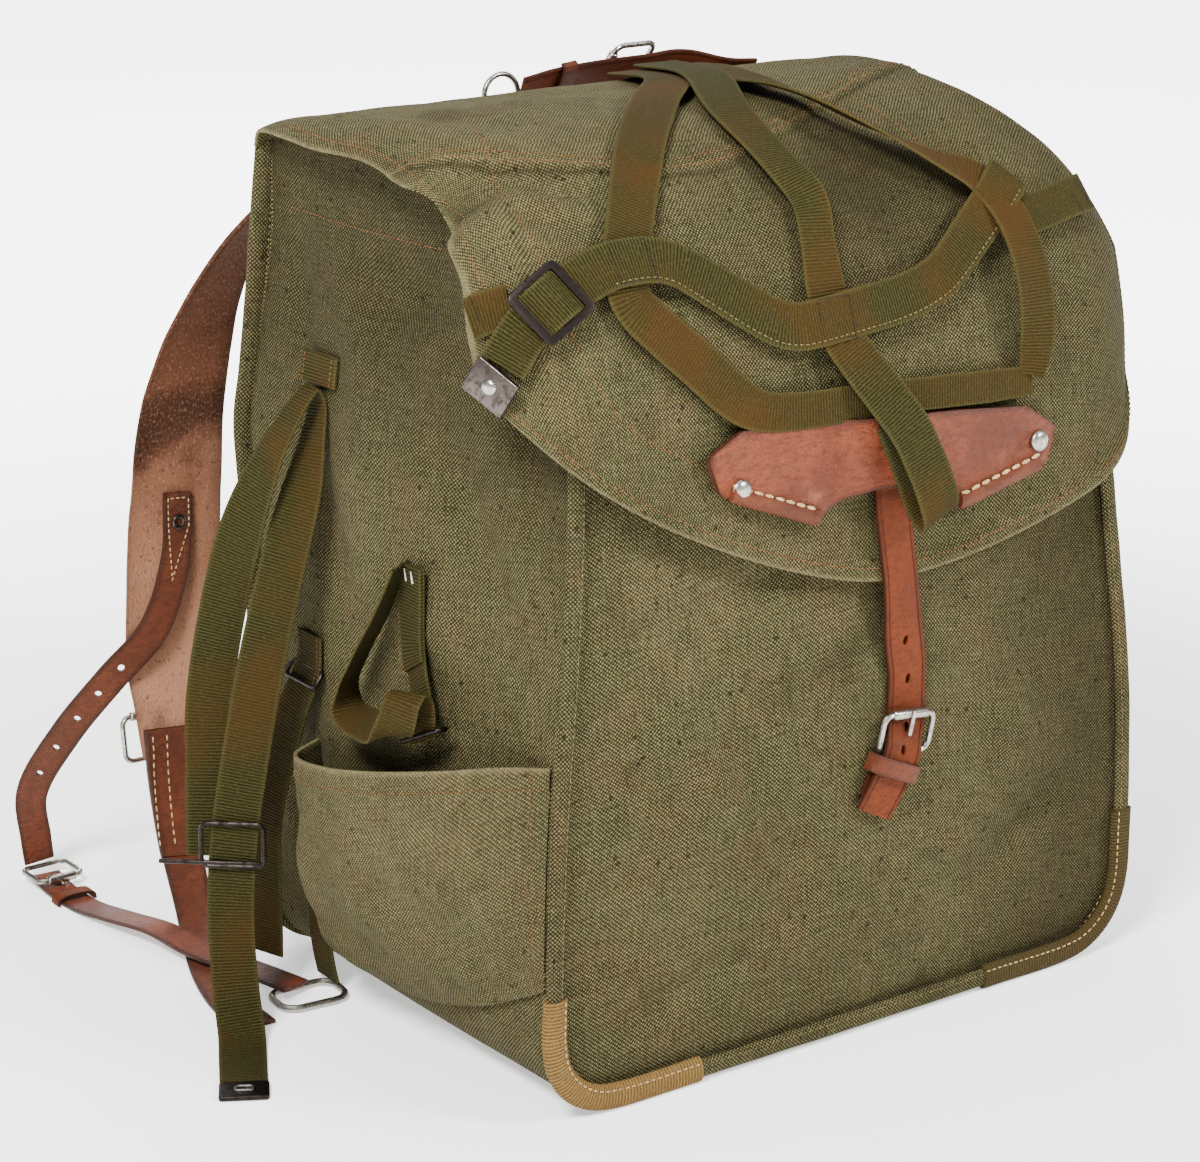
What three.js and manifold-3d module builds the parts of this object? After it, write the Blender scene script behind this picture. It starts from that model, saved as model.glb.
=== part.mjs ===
// A canvas rucksack: a hollow bag with a buckled flap, side pockets, a webbing harness over the flap,
// doubled side straps and leather shoulder straps with steadying straps.
// Millimetres. +Z is up, the front faces -Y, and the origin is the middle of the flat base.
import * as THREE from 'three';
import Module from 'manifold-3d';

const wasm = await Module();
wasm.setup();

// Driving dimensions
const CANVAS = 2;
const SEAM_GAP = 0.4;
const WALL_GAP = 0.9;
const WEB = { width: 25, thick: 1.6 };
const LEATHER = 2.4;
const BASE_CORNER = 40;
const RIM = { side: 450, back: 453, front: 398 };
const WELT = { width: 10, thick: 5.2, out: 1.5, stand: 5.4 };
const BACK_WELT = { width: 13, thick: 7, out: 1.5, stand: 4.4 };
const BINDING = { width: 14, thick: 8, wall: 1, leftTop: 72, leftEnd: -108, rightTop: 84, rightEnd: 90 };
const FLAP = { length: 443, edgeDrop: 78, cornerDrop: 28, skew: 0.13, wall: 2 };
const FLAP_BEND = { radius: 60, rightRadius: 30, rightEarly: 34, reach: 290 };
const PATCH = { across: 6, above: 67, tilt: -0.083, thick: 3, bridge: 3 };
const CLOSURE = { width: 25, thick: 2.4, buckleZ: 168, buckleX: 21.5 };
const WIRE = { slide: 2.6, buckle: 3.2, ring: 4 };

// Upright seams of the bag and the swell of each wall, at several heights
const BODY = [
  { z: 0, frontHalf: 188, backHalf: 193, frontY: -127, backY: 128, frontOut: 1, sideOut: 0, backOut: 1 },
  { z: 60, frontHalf: 189, backHalf: 195, frontY: -129, backY: 129, frontOut: 8, sideOut: 7, backOut: 4 },
  { z: 150, frontHalf: 186, backHalf: 197, frontY: -129, backY: 129, frontOut: 12, sideOut: 10, backOut: 6 },
  { z: 240, frontHalf: 176, backHalf: 198, frontY: -125, backY: 128, frontOut: 12, sideOut: 11, backOut: 7 },
  { z: 310, frontHalf: 169, backHalf: 201, frontY: -120, backY: 129, frontOut: 10, sideOut: 10, backOut: 7 },
  { z: 360, frontHalf: 167, backHalf: 194, frontY: -117, backY: 126, frontOut: 7, sideOut: 8, backOut: 5 },
  { z: 410, frontHalf: 166, backHalf: 188, frontY: -114, backY: 122, frontOut: 5, sideOut: 6, backOut: 3 },
  { z: 450, frontHalf: 166, backHalf: 187, frontY: -112, backY: 121, frontOut: 4, sideOut: 5, backOut: 2 },
];

// Middle line of the flap, from the back seam over the top and down the front
const FLAP_LINE = [
  { y: 126, z: 456 },
  { y: 114, z: 469 },
  { y: 78, z: 478 },
  { y: 20, z: 482 },
  { y: -40, z: 475 },
  { y: -86, z: 455 },
  { y: -117, z: 420 },
  { y: -135, z: 374 },
  { y: -142, z: 326 },
  { y: -145, z: 230 },
];

// Flat half width of the flap and the half width that stays level before it bends over the sides
const FLAP_SPREAD = [
  { along: 0, half: 197, level: 186 },
  { along: 50, half: 207, level: 172 },
  { along: 160, half: 216, level: 160 },
  { along: 300, half: 222, level: 150 },
  { along: 470, half: 222, level: 150 },
];

// Lower and upper edge of the leather patch across its width
const PATCH_EDGE = [
  { across: -112, bottom: -2, top: 6 },
  { across: -98, bottom: -16, top: 15 },
  { across: -44, bottom: -32, top: 18 },
  { across: -28, bottom: -22, top: 18 },
  { across: 0, bottom: -20, top: 18 },
  { across: 28, bottom: -22, top: 18 },
  { across: 44, bottom: -32, top: 18 },
  { across: 98, bottom: -16, top: 15 },
  { across: 112, bottom: -2, top: 6 },
];

// Bottom and top height of the side pocket and its swell, from its front edge to its back edge
const POCKET = [
  { share: 0.004, bottom: 71, top: 187, swell: 0 },
  { share: 0.07, bottom: 62, top: 186, swell: 14 },
  { share: 0.2, bottom: 46, top: 178, swell: 27 },
  { share: 0.42, bottom: 29, top: 164, swell: 34 },
  { share: 0.6, bottom: 22, top: 154, swell: 32 },
  { share: 0.7, bottom: 19, top: 151, swell: 25 },
  { share: 0.755, bottom: 18, top: 150, swell: 0 },
];

// Stations of each strap over the flap: distance across and along it, lift of the strap's middle and
// its twist on edge
const FLAP_STRAPS = {
  web_left: [
    { across: 16, along: 44, lift: 1.6, twist: 0 },
    { across: 0, along: 100, lift: 1.6, twist: 0 },
    { across: -42, along: 146, lift: 1.8, twist: 0 },
    { across: -84, along: 192, lift: 1.8, twist: 0 },
    { across: -112, along: 228, lift: 1.6, twist: 0 },
    { across: -130, along: 260, lift: 1.6, twist: 0 },
    { across: -132, along: 284, lift: 1.6, twist: 0 },
    { across: -118, along: 307, lift: 1.8, twist: 0 },
    { across: -92, along: 328, lift: 1.8, twist: 0 },
    { across: -72, along: 342, lift: 1.6, twist: 0 },
  ],
  web_lower: [
    { across: -80, along: 340, lift: 3.8, twist: 0, width: 16 },
    { across: -46, along: 344, lift: 3.4, twist: 0, width: 16 },
    { across: -14, along: 346, lift: 2.4, twist: 0, width: 16 },
    { across: 36, along: 350, lift: 2.4, twist: 0, width: 16 },
    { across: 76, along: 353, lift: 3, twist: 0, width: 16 },
    { across: 112, along: 356, lift: 3.8, twist: 0, width: 16 },
  ],
  web_right: [
    { across: 46, along: 50, lift: 1.8, twist: 0 },
    { across: 39, along: 86, lift: 1.8, twist: 0 },
    { across: 32, along: 120, lift: 1.8, twist: 0 },
    { across: 30, along: 172, lift: 6.6, twist: 22 },
    { across: 44, along: 208, lift: 7.2, twist: 28 },
    { across: 74, along: 236, lift: 5.4, twist: 20 },
    { across: 98, along: 251, lift: 3, twist: 8 },
    { across: 110, along: 270, lift: 1.7, twist: 0 },
    { across: 113, along: 296, lift: 1.6, twist: 0 },
    { across: 113, along: 322, lift: 1.6, twist: 0 },
    { across: 111, along: 350, lift: 1.6, twist: 0 },
  ],
  web_middle: [
    { across: 31, along: 48, lift: 4.4, twist: 0 },
    { across: 12, along: 116, lift: 4.4, twist: 0 },
    { across: -14, along: 172, lift: 2.4, twist: 0 },
    { across: -22, along: 220, lift: 1.8, twist: 0 },
    { across: -20, along: 258, lift: 1.6, twist: 0 },
    { across: -22, along: 296, lift: 1.6, twist: 0 },
    { across: -16, along: 318, lift: 2, twist: 0 },
    { across: 2, along: 334, lift: 5.6, twist: 0 },
    { across: 16, along: 345, lift: 8.6, twist: 0 },
    { across: 34, along: 366, lift: 13, twist: 0 },
    { across: 45, along: 392, lift: 14, twist: 0 },
    { across: 50, along: 407, lift: 13.6, twist: 0 },
    { across: 51.5, along: 411, lift: 10.6, twist: 0 },
    { across: 49, along: 405, lift: 7.6, twist: 0 },
    { across: 38, along: 388, lift: 7.6, twist: 0 },
    { across: 18, along: 372, lift: 8.4, twist: 0 },
  ],
  cross_strap: [
    { across: -205, along: 301, lift: 4, twist: 0 },
    { across: -193, along: 286, lift: 2.6, twist: 0 },
    { across: -178, along: 276, lift: 2.6, twist: 0 },
    { across: -162, along: 270, lift: 2.6, twist: 0 },
    { across: -146, along: 268, lift: 4, twist: 0 },
    { across: -128, along: 266, lift: 4.8, twist: 0 },
    { across: -96, along: 268, lift: 3, twist: 0 },
    { across: -74, along: 280, lift: 2, twist: 0 },
    { across: -52, along: 297, lift: 3.4, twist: 0 },
    { across: -24, along: 303, lift: 4.6, twist: 0 },
    { across: 4, along: 299, lift: 3.4, twist: 0 },
    { across: 36, along: 289, lift: 2.2, twist: 0 },
    { across: 68, along: 278, lift: 2.8, twist: 0 },
    { across: 96, along: 266, lift: 5, twist: 0 },
    { across: 124, along: 264, lift: 4.6, twist: 0 },
    { across: 148, along: 265, lift: 2.8, twist: 0 },
    { across: 168, along: 262, lift: 2.4, twist: 0 },
    { across: 188, along: 257, lift: 2.4, twist: 0 },
  ],
  cross_anchor: [
    { across: -215, along: 263, lift: 1.3, twist: 0 },
    { across: -209, along: 262, lift: 1.3, twist: 0 },
    { across: -204, along: 260, lift: 1.3, twist: 0 },
  ],
};

// Routes of the free straps on the right-hand side, mirrored for the left: the bearing and pitch of the
// strap's width are in degrees, and the width is in millimetres
const SIDE_STRAPS = {
  side_strap: [
    { x: 262, y: 80, z: 92, bearing: 38, pitch: 0, width: 25 },
    { x: 258, y: 85, z: 140, bearing: 38, pitch: 0, width: 25 },
    { x: 254, y: 90, z: 172, bearing: 42, pitch: 0, width: 25 },
    { x: 246, y: 85, z: 226, bearing: 48, pitch: 0, width: 25 },
    { x: 238, y: 74, z: 274, bearing: 62, pitch: 0, width: 25 },
    { x: 224, y: 66, z: 312, bearing: 78, pitch: 0, width: 25 },
    { x: 208, y: 64, z: 335, bearing: 89, pitch: 0, width: 25 },
    { x: 202, y: 64, z: 340, bearing: 90, pitch: 0, width: 25 },
    { x: 198.6, y: 64, z: 334, bearing: 90, pitch: 0, width: 25 },
    { x: 204, y: 61, z: 314, bearing: 78, pitch: 0, width: 25 },
    { x: 214, y: 57, z: 288, bearing: 62, pitch: 0, width: 25 },
    { x: 226, y: 56, z: 254, bearing: 52, pitch: 0, width: 25 },
    { x: 238, y: 58, z: 208, bearing: 46, pitch: 0, width: 25 },
    { x: 248, y: 60, z: 160, bearing: 42, pitch: 0, width: 25 },
    { x: 257, y: 62, z: 108, bearing: 40, pitch: 0, width: 25 },
    { x: 262, y: 60, z: 66, bearing: 40, pitch: 0, width: 25 },
    { x: 264, y: 54, z: 26, bearing: 40, pitch: 0, width: 25 },
    { x: 268, y: 42, z: 5, bearing: 38, pitch: 0, width: 25 },
    { x: 280, y: 20, z: 1.4, bearing: 36, pitch: 0, width: 25 },
    { x: 292, y: -2, z: 1.4, bearing: 34, pitch: 0, width: 25 },
  ],
  lower_web: [
    { x: 202.6, y: 72, z: 206, bearing: 90, pitch: 0, width: 25 },
    { x: 203.6, y: 72, z: 188, bearing: 90, pitch: 0, width: 25 },
    { x: 211, y: 76, z: 166, bearing: 84, pitch: 0, width: 25 },
    { x: 218, y: 80, z: 142, bearing: 76, pitch: 0, width: 25 },
    { x: 227, y: 84, z: 104, bearing: 68, pitch: 0, width: 25 },
    { x: 227, y: 87, z: 64, bearing: 66, pitch: 0, width: 25 },
    { x: 226, y: 90, z: 24, bearing: 66, pitch: 0, width: 25 },
  ],
  pocket_strap: [
    { x: 197, y: -22, z: 266, bearing: 90, pitch: -32, width: 20 },
    { x: 198.4, y: -24, z: 226, bearing: 90, pitch: -32, width: 20 },
    { x: 204, y: -38, z: 204, bearing: 90, pitch: -34, width: 20 },
    { x: 210, y: -56, z: 186, bearing: 90, pitch: -42, width: 20 },
    { x: 217, y: -64, z: 184, bearing: 90, pitch: -60, width: 20 },
    { x: 224, y: -56, z: 185, bearing: 90, pitch: -80, width: 20 },
    { x: 225, y: -40, z: 189, bearing: 90, pitch: -86, width: 20 },
    { x: 220, y: -24, z: 191, bearing: 90, pitch: -86, width: 20 },
    { x: 214, y: -8, z: 186, bearing: 90, pitch: -80, width: 20 },
    { x: 213, y: 3, z: 182, bearing: 20, pitch: -58, width: 20 },
    { x: 213.4, y: 13, z: 180, bearing: 2, pitch: -24, width: 20 },
    { x: 214, y: 21, z: 184, bearing: 0, pitch: 0, width: 20 },
    { x: 214, y: 20, z: 196, bearing: 0, pitch: 0, width: 20 },
    { x: 213, y: 6, z: 216, bearing: 0, pitch: 0, width: 20 },
    { x: 211, y: -13, z: 250, bearing: 0, pitch: 0, width: 20 },
  ],
  shoulder_strap: [
    { x: 20, y: 128.8, z: 404, bearing: 180, pitch: 43, width: 34 },
    { x: 34, y: 128.2, z: 419, bearing: 180, pitch: 43, width: 34 },
    { x: 46, y: 129.4, z: 431, bearing: 174, pitch: 45, width: 34 },
    { x: 64, y: 141, z: 441, bearing: 135, pitch: 46, width: 36 },
    { x: 96, y: 160, z: 444, bearing: 123, pitch: 14, width: 40 },
    { x: 142, y: 190, z: 418, bearing: 130, pitch: 0, width: 44 },
    { x: 168, y: 220, z: 360, bearing: 155, pitch: -5, width: 50 },
    { x: 178, y: 244, z: 296, bearing: 174, pitch: 0, width: 56 },
    { x: 180, y: 256, z: 232, bearing: 180, pitch: 0, width: 58 },
    { x: 184, y: 259, z: 170, bearing: 180, pitch: 0, width: 58 },
    { x: 190, y: 256, z: 116, bearing: 180, pitch: 0, width: 50 },
    { x: 195, y: 250, z: 76, bearing: 180, pitch: 0, width: 38 },
  ],
  strap_end: [
    { x: 191, y: 251.7, z: 112, bearing: 0, pitch: 0, width: 34 },
    { x: 195, y: 245.3, z: 76, bearing: 0, pitch: 0, width: 34 },
    { x: 202, y: 226, z: 36, bearing: 6, pitch: 0, width: 30 },
    { x: 212, y: 194, z: 10, bearing: 14, pitch: 0, width: 28 },
    { x: 224, y: 164, z: 2.2, bearing: 18, pitch: 0, width: 28 },
    { x: 241, y: 122, z: 2, bearing: 18, pitch: 0, width: 28 },
    { x: 251, y: 84, z: 2, bearing: 8, pitch: 0, width: 28 },
    { x: 253, y: 52, z: 2, bearing: 2, pitch: 0, width: 28 },
  ],
  steady_strap: [
    { x: 181, y: 252.4, z: 236, bearing: 0, pitch: 0, width: 18 },
    { x: 184, y: 251.4, z: 200, bearing: 0, pitch: 0, width: 18 },
    { x: 200, y: 250, z: 160, bearing: 14, pitch: 24, width: 18 },
    { x: 226, y: 257, z: 132, bearing: 24, pitch: 30, width: 18 },
    { x: 246, y: 276, z: 98, bearing: 34, pitch: 24, width: 18 },
    { x: 259, y: 299, z: 56, bearing: 36, pitch: 12, width: 18 },
    { x: 255.5, y: 304, z: 26, bearing: 18, pitch: 4, width: 18 },
    { x: 253.4, y: 305.6, z: 10.7, bearing: 6, pitch: 0, width: 18 },
  ],
  steady_end: [
    { x: 251, y: 304, z: 1.6, bearing: 0, pitch: 0, width: 18 },
    { x: 254, y: 276, z: 1.6, bearing: -2, pitch: 0, width: 18 },
    { x: 253, y: 246, z: 2, bearing: 0, pitch: 0, width: 18 },
    { x: 249, y: 214, z: 6, bearing: 6, pitch: 0, width: 18 },
    { x: 242, y: 178, z: 9.4, bearing: 10, pitch: 0, width: 18 },
    { x: 236, y: 146, z: 7, bearing: 12, pitch: 0, width: 18 },
    { x: 223, y: 102, z: 6.6, bearing: 14, pitch: 0, width: 18 },
    { x: 216, y: 74, z: 6.6, bearing: 12, pitch: 0, width: 18 },
  ],
  ring_tab: [
    { x: 198.2, y: 77, z: 46, bearing: 90, pitch: 0, width: 22 },
    { x: 197.8, y: 77, z: 30, bearing: 90, pitch: 0, width: 22 },
    { x: 196, y: 77, z: 16, bearing: 90, pitch: 0, width: 22 },
    { x: 193.8, y: 77, z: 5, bearing: 90, pitch: 0, width: 22 },
  ],
};

// Surfaces of each kind of piece
const LOOK = {
  canvas: { color: 0x6c6a46, roughness: 0.95, metalness: 0 },
  web: { color: 0x59522b, roughness: 0.95, metalness: 0 },
  tape: { color: 0xa08a58, roughness: 0.95, metalness: 0 },
  leather: { color: 0xa05c3c, roughness: 0.5, metalness: 0 },
  suede: { color: 0xa87c60, roughness: 0.9, metalness: 0 },
  nickel: { color: 0xb9b6ae, roughness: 0.3, metalness: 1 },
  steel: { color: 0x4a443c, roughness: 0.5, metalness: 1 },
};

const SIDES = [
  { label: 'left', sign: -1 },
  { label: 'right', sign: 1 },
];
const INSIDE = new THREE.Vector3(0, 0, 220);

const clamp = THREE.MathUtils.clamp;
const lerp = THREE.MathUtils.lerp;
const radians = THREE.MathUtils.degToRad;

// Reads a column of a table at any value of its leading column, on a smooth curve through the rows.
function readTable(table, by, column, value) {
  const last = table.length - 1;
  const found = table.findLastIndex((row) => row[by] <= value);
  const i = clamp(found, 0, last - 1);
  const from = table[i];
  const to = table[i + 1];
  const before = table[Math.max(i - 1, 0)];
  const after = table[Math.min(i + 2, last)];
  const span = to[by] - from[by];
  const t = clamp((value - from[by]) / span, 0, 1);
  const leave = ((to[column] - before[column]) / (to[by] - before[by])) * span;
  const arrive = ((after[column] - from[column]) / (after[by] - from[by])) * span;
  const t2 = t * t;
  const t3 = t2 * t;
  return (
    (2 * t3 - 3 * t2 + 1) * from[column] +
    (t3 - 2 * t2 + t) * leave +
    (3 * t2 - 2 * t3) * to[column] +
    (t3 - t2) * arrive
  );
}

// Reads a column of a table with straight lines between its rows.
function readStraight(table, by, column, value) {
  const found = table.findLastIndex((row) => row[by] <= value);
  const i = clamp(found, 0, table.length - 2);
  const t = clamp((value - table[i][by]) / (table[i + 1][by] - table[i][by]), 0, 1);
  return lerp(table[i][column], table[i + 1][column], t);
}

// Makes an indexed geometry whose faces point outward.
function solidFrom(points, faces) {
  let volume = 0;
  for (const [a, b, c] of faces) {
    volume += points[a].dot(new THREE.Vector3().crossVectors(points[b], points[c]));
  }
  const order = volume < 0 ? faces.map(([a, b, c]) => [a, c, b]) : faces;
  const geometry = new THREE.BufferGeometry();
  geometry.setAttribute('position', new THREE.Float32BufferAttribute(points.flatMap((p) => p.toArray()), 3));
  geometry.setIndex(order.flat());
  geometry.computeVertexNormals();
  return geometry;
}

// Joins equal rings of points into a bar with capped ends, or into a closed loop.
function skin(rings, looped) {
  const count = rings[0].length;
  const points = rings.flat();
  const faces = [];
  const spans = looped ? rings.length : rings.length - 1;
  for (let r = 0; r < spans; r += 1) {
    const a = r * count;
    const b = ((r + 1) % rings.length) * count;
    for (let k = 0; k < count; k += 1) {
      const n = (k + 1) % count;
      faces.push([a + k, a + n, b + n], [a + k, b + n, b + k]);
    }
  }
  if (!looped) {
    const end = (rings.length - 1) * count;
    for (let k = 1; k < count - 1; k += 1) {
      faces.push([0, k + 1, k], [end, end + k, end + k + 1]);
    }
  }
  return solidFrom(points, faces);
}

// Makes a sheet of even thickness whose outer face is surface(u, v); the thickness goes toward a point
// inside.
function sheet(surface, columns, rows, thick, inside) {
  const outer = [];
  for (let j = 0; j <= rows; j += 1) {
    for (let i = 0; i <= columns; i += 1) {
      outer.push(surface(i / columns, j / rows));
    }
  }
  const at = (i, j) => j * (columns + 1) + i;
  const normals = [];
  for (let j = 0; j <= rows; j += 1) {
    for (let i = 0; i <= columns; i += 1) {
      const east = outer[at(Math.min(i + 1, columns), j)];
      const west = outer[at(Math.max(i - 1, 0), j)];
      const north = outer[at(i, Math.min(j + 1, rows))];
      const south = outer[at(i, Math.max(j - 1, 0))];
      const over = east.clone().sub(west);
      const along = north.clone().sub(south);
      normals.push(over.cross(along).normalize());
    }
  }
  const middle = at(Math.floor(columns / 2), Math.floor(rows / 2));
  const facing = Math.sign(inside.clone().sub(outer[middle]).dot(normals[middle]));
  const inner = outer.map((p, k) => p.clone().addScaledVector(normals[k], facing * thick));
  const shift = outer.length;
  const faces = [];
  for (let j = 0; j < rows; j += 1) {
    for (let i = 0; i < columns; i += 1) {
      const [a, b, c, d] = [at(i, j), at(i + 1, j), at(i + 1, j + 1), at(i, j + 1)];
      faces.push([a, b, c], [a, c, d], [a + shift, c + shift, b + shift], [a + shift, d + shift, c + shift]);
    }
  }
  const rim = [];
  for (let i = 0; i < columns; i += 1) rim.push(at(i, 0));
  for (let j = 0; j < rows; j += 1) rim.push(at(columns, j));
  for (let i = columns; i > 0; i -= 1) rim.push(at(i, rows));
  for (let j = rows; j > 0; j -= 1) rim.push(at(0, j));
  rim.forEach((a, k) => {
    const b = rim[(k + 1) % rim.length];
    faces.push([a, a + shift, b + shift], [a, b + shift, b]);
  });
  return solidFrom([...outer, ...inner], faces);
}

// Outlines of a strap's section, in shares of its width and thickness.
const SECTIONS = {
  flat: [[0.5, 0.5], [-0.5, 0.5], [-0.5, -0.5], [0.5, -0.5]],
  round: [[0.5, 0], [0.3, 0.5], [-0.3, 0.5], [-0.5, 0], [-0.3, -0.5], [0.3, -0.5]],
};

// Sweeps a strap through stations that hold its middle, the direction of its width and the width itself.
function band(stations, thick, steps, section) {
  const middle = new THREE.CatmullRomCurve3(stations.map((s) => s.at), false, 'centripetal');
  const across = new THREE.CatmullRomCurve3(stations.map((s) => s.side), false, 'centripetal');
  const widths = stations.map((s, k) => ({ share: k / (stations.length - 1), width: s.width }));
  const rings = [];
  for (let k = 0; k <= steps; k += 1) {
    const share = k / steps;
    const heading = middle.getTangent(share);
    const side = across.getPoint(share);
    side.addScaledVector(heading, -side.dot(heading)).normalize();
    const face = new THREE.Vector3().crossVectors(heading, side);
    const width = readTable(widths, 'share', 'width', share);
    const centre = middle.getPoint(share);
    const ring = SECTIONS[section].map(([w, t]) =>
      centre.clone().addScaledVector(side, w * width).addScaledVector(face, t * thick));
    rings.push(ring);
  }
  return skin(rings, false);
}

// Sweeps a round wire along a closed path in the XY plane.
function wireLoop(path, diameter, sides) {
  const rings = path.map((p, k) => {
    const next = path[(k + 1) % path.length];
    const before = path[(k + path.length - 1) % path.length];
    const heading = next.clone().sub(before).normalize();
    const out = new THREE.Vector3(heading.y, -heading.x, 0);
    return Array.from({ length: sides }, (_, s) => {
      const turn = (2 * Math.PI * (s + 0.5)) / sides;
      const reach = (diameter / 2) * Math.cos(turn);
      return p.clone().addScaledVector(out, reach).setZ((diameter / 2) * Math.sin(turn));
    });
  });
  return skin(rings, true);
}

// Lists the points of a rounded rectangle in the XY plane, anticlockwise.
function roundedLoop(width, height, radius, steps) {
  const corners = [
    { x: 1, y: 1, from: 0 },
    { x: -1, y: 1, from: 90 },
    { x: -1, y: -1, from: 180 },
    { x: 1, y: -1, from: 270 },
  ];
  return corners.flatMap((corner) =>
    Array.from({ length: steps + 1 }, (_, k) => {
      const turn = radians(corner.from + (90 * k) / steps);
      const x = corner.x * (width / 2 - radius) + radius * Math.cos(turn);
      const y = corner.y * (height / 2 - radius) + radius * Math.sin(turn);
      return new THREE.Vector3(x, y, 0);
    }));
}

// Boolean solids
function toSolid(geometry) {
  const mesh = new wasm.Mesh({
    numProp: 3,
    vertProperties: Float32Array.from(geometry.getAttribute('position').array),
    triVerts: Uint32Array.from(geometry.getIndex().array),
  });
  mesh.merge();
  return new wasm.Manifold(mesh);
}

function fromSolid(solid) {
  const mesh = solid.getMesh();
  const geometry = new THREE.BufferGeometry();
  geometry.setAttribute('position', new THREE.Float32BufferAttribute(mesh.vertProperties, 3));
  geometry.setIndex(Array.from(mesh.triVerts));
  geometry.computeVertexNormals();
  return geometry;
}

// A round bar between two points of the XY plane at a height.
function bar(from, to, diameter, sides) {
  const direction = to.clone().sub(from);
  const geometry = new THREE.CylinderGeometry(diameter / 2, diameter / 2, direction.length(), sides);
  const upright = new THREE.Vector3(0, 1, 0);
  const turn = new THREE.Quaternion().setFromUnitVectors(upright, direction.clone().normalize());
  geometry.applyQuaternion(turn);
  geometry.translate(...from.clone().add(to).multiplyScalar(0.5).toArray());
  return geometry;
}

// A roller buckle: a wire frame, a thicker roller on its upper bar and a prong that rests on the roller.
function rollerBuckle(width, height) {
  const frame = wireLoop(roundedLoop(width, height, 5, 2), WIRE.buckle, 6);
  const reach = width / 2 - 5;
  const top = height / 2;
  const roller = bar(new THREE.Vector3(-reach, top, 0), new THREE.Vector3(reach, top, 0), 5.4, 8);
  const prong = bar(new THREE.Vector3(0, top - 9, 2.8), new THREE.Vector3(0, top + 2, 2.8), 2.6, 6);
  return fromSolid(wasm.Manifold.union([toSolid(frame), toSolid(roller), toSolid(prong)]));
}

// A flat stamped slide with two openings and a bar between them.
function flatSlide(width, height, thick) {
  const outline = new THREE.Shape(roundedLoop(width, height, 4, 2).map((p) => new THREE.Vector2(p.x, p.y)));
  for (const sign of [-1, 1]) {
    const centre = sign * height * 0.215;
    const hole = roundedLoop(width - 8, height * 0.28, 1, 1);
    outline.holes.push(new THREE.Path(hole.map((p) => new THREE.Vector2(p.x, p.y + centre)).reverse()));
  }
  const geometry = new THREE.ExtrudeGeometry(outline, { depth: thick, bevelEnabled: false });
  geometry.translate(0, 0, -thick / 2);
  return geometry;
}

const part = new THREE.Group();
part.name = 'rucksack';

function add(name, geometry, look) {
  const material = new THREE.MeshStandardMaterial(LOOK[look]);
  material.name = look;
  const mesh = new THREE.Mesh(geometry, material);
  mesh.name = name;
  part.add(mesh);
  return mesh;
}

// Stands a piece drawn in its XY plane at a point, with its X and Y along two directions.
function stand(mesh, at, right, up) {
  const x = right.clone().normalize();
  const z = new THREE.Vector3().crossVectors(x, up).normalize();
  const y = new THREE.Vector3().crossVectors(z, x);
  mesh.quaternion.setFromRotationMatrix(new THREE.Matrix4().makeBasis(x, y, z));
  mesh.position.copy(at);
}

const bodyAt = (column, z) => readTable(BODY, 'z', column, z);
const cornerInset = (z) => {
  const rise = Math.max(BASE_CORNER - z, 0);
  return BASE_CORNER - Math.sqrt(BASE_CORNER ** 2 - rise ** 2);
};

// Height on a wall: the lower share of v goes round the bag's lower corner in equal turns.
const CORNER_SHARE = 0.3;
function wallHeight(v, top) {
  if (v < CORNER_SHARE) return BASE_CORNER * (1 - Math.cos((v / CORNER_SHARE) * (Math.PI / 2)));
  return lerp(BASE_CORNER, top, (v - CORNER_SHARE) / (1 - CORNER_SHARE));
}

// Front and back walls
function endWall(half, seam, swell, out, top) {
  return (u, v) => {
    const z = wallHeight(v, top);
    const w = 2 * u - 1;
    const x = w * (bodyAt(half, z) - cornerInset(z));
    const y = bodyAt(seam, z) + out * bodyAt(swell, z) * (1 - w * w);
    return new THREE.Vector3(x, y, z);
  };
}

// Side walls, between the front and back walls
function sidePoint(sign, share, z) {
  const edge = CANVAS + WALL_GAP;
  const y = lerp(bodyAt('frontY', z) + edge, bodyAt('backY', z) - edge, share);
  const half = lerp(bodyAt('frontHalf', z), bodyAt('backHalf', z), share) - cornerInset(z);
  const swell = bodyAt('sideOut', z) * 4 * share * (1 - share);
  return new THREE.Vector3(sign * (half + swell), y, z);
}

function sideWall(sign) {
  return (u, v) => {
    const top = RIM.side - (RIM.side - RIM.front) * (1 - u) ** 3;
    return sidePoint(sign, u, wallHeight(v, top));
  };
}

const frontWall = endWall('frontHalf', 'frontY', 'frontOut', -1, RIM.front);
const backWall = endWall('backHalf', 'backY', 'backOut', 1, RIM.back);
add('front_panel', sheet(frontWall, 9, 12, CANVAS, INSIDE), 'canvas');
add('back_panel', sheet(backWall, 8, 9, CANVAS, INSIDE), 'canvas');
for (const { label, sign } of SIDES) {
  add(`side_panel_${label}`, sheet(sideWall(sign), 8, 11, CANVAS, INSIDE), 'canvas');
}

const floorFront = bodyAt('frontHalf', 0) - BASE_CORNER - WALL_GAP;
const floorBack = bodyAt('backHalf', 0) - BASE_CORNER - WALL_GAP;
const floorNear = bodyAt('frontY', 0) + CANVAS + SEAM_GAP;
const floorFar = bodyAt('backY', 0) - CANVAS - SEAM_GAP;
const floorShape = new THREE.Shape([
  new THREE.Vector2(-floorFront, floorNear),
  new THREE.Vector2(floorFront, floorNear),
  new THREE.Vector2(floorBack, floorFar),
  new THREE.Vector2(-floorBack, floorFar),
]);
add('base_panel', new THREE.ExtrudeGeometry(floorShape, { depth: CANVAS, bevelEnabled: false }), 'canvas');

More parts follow.
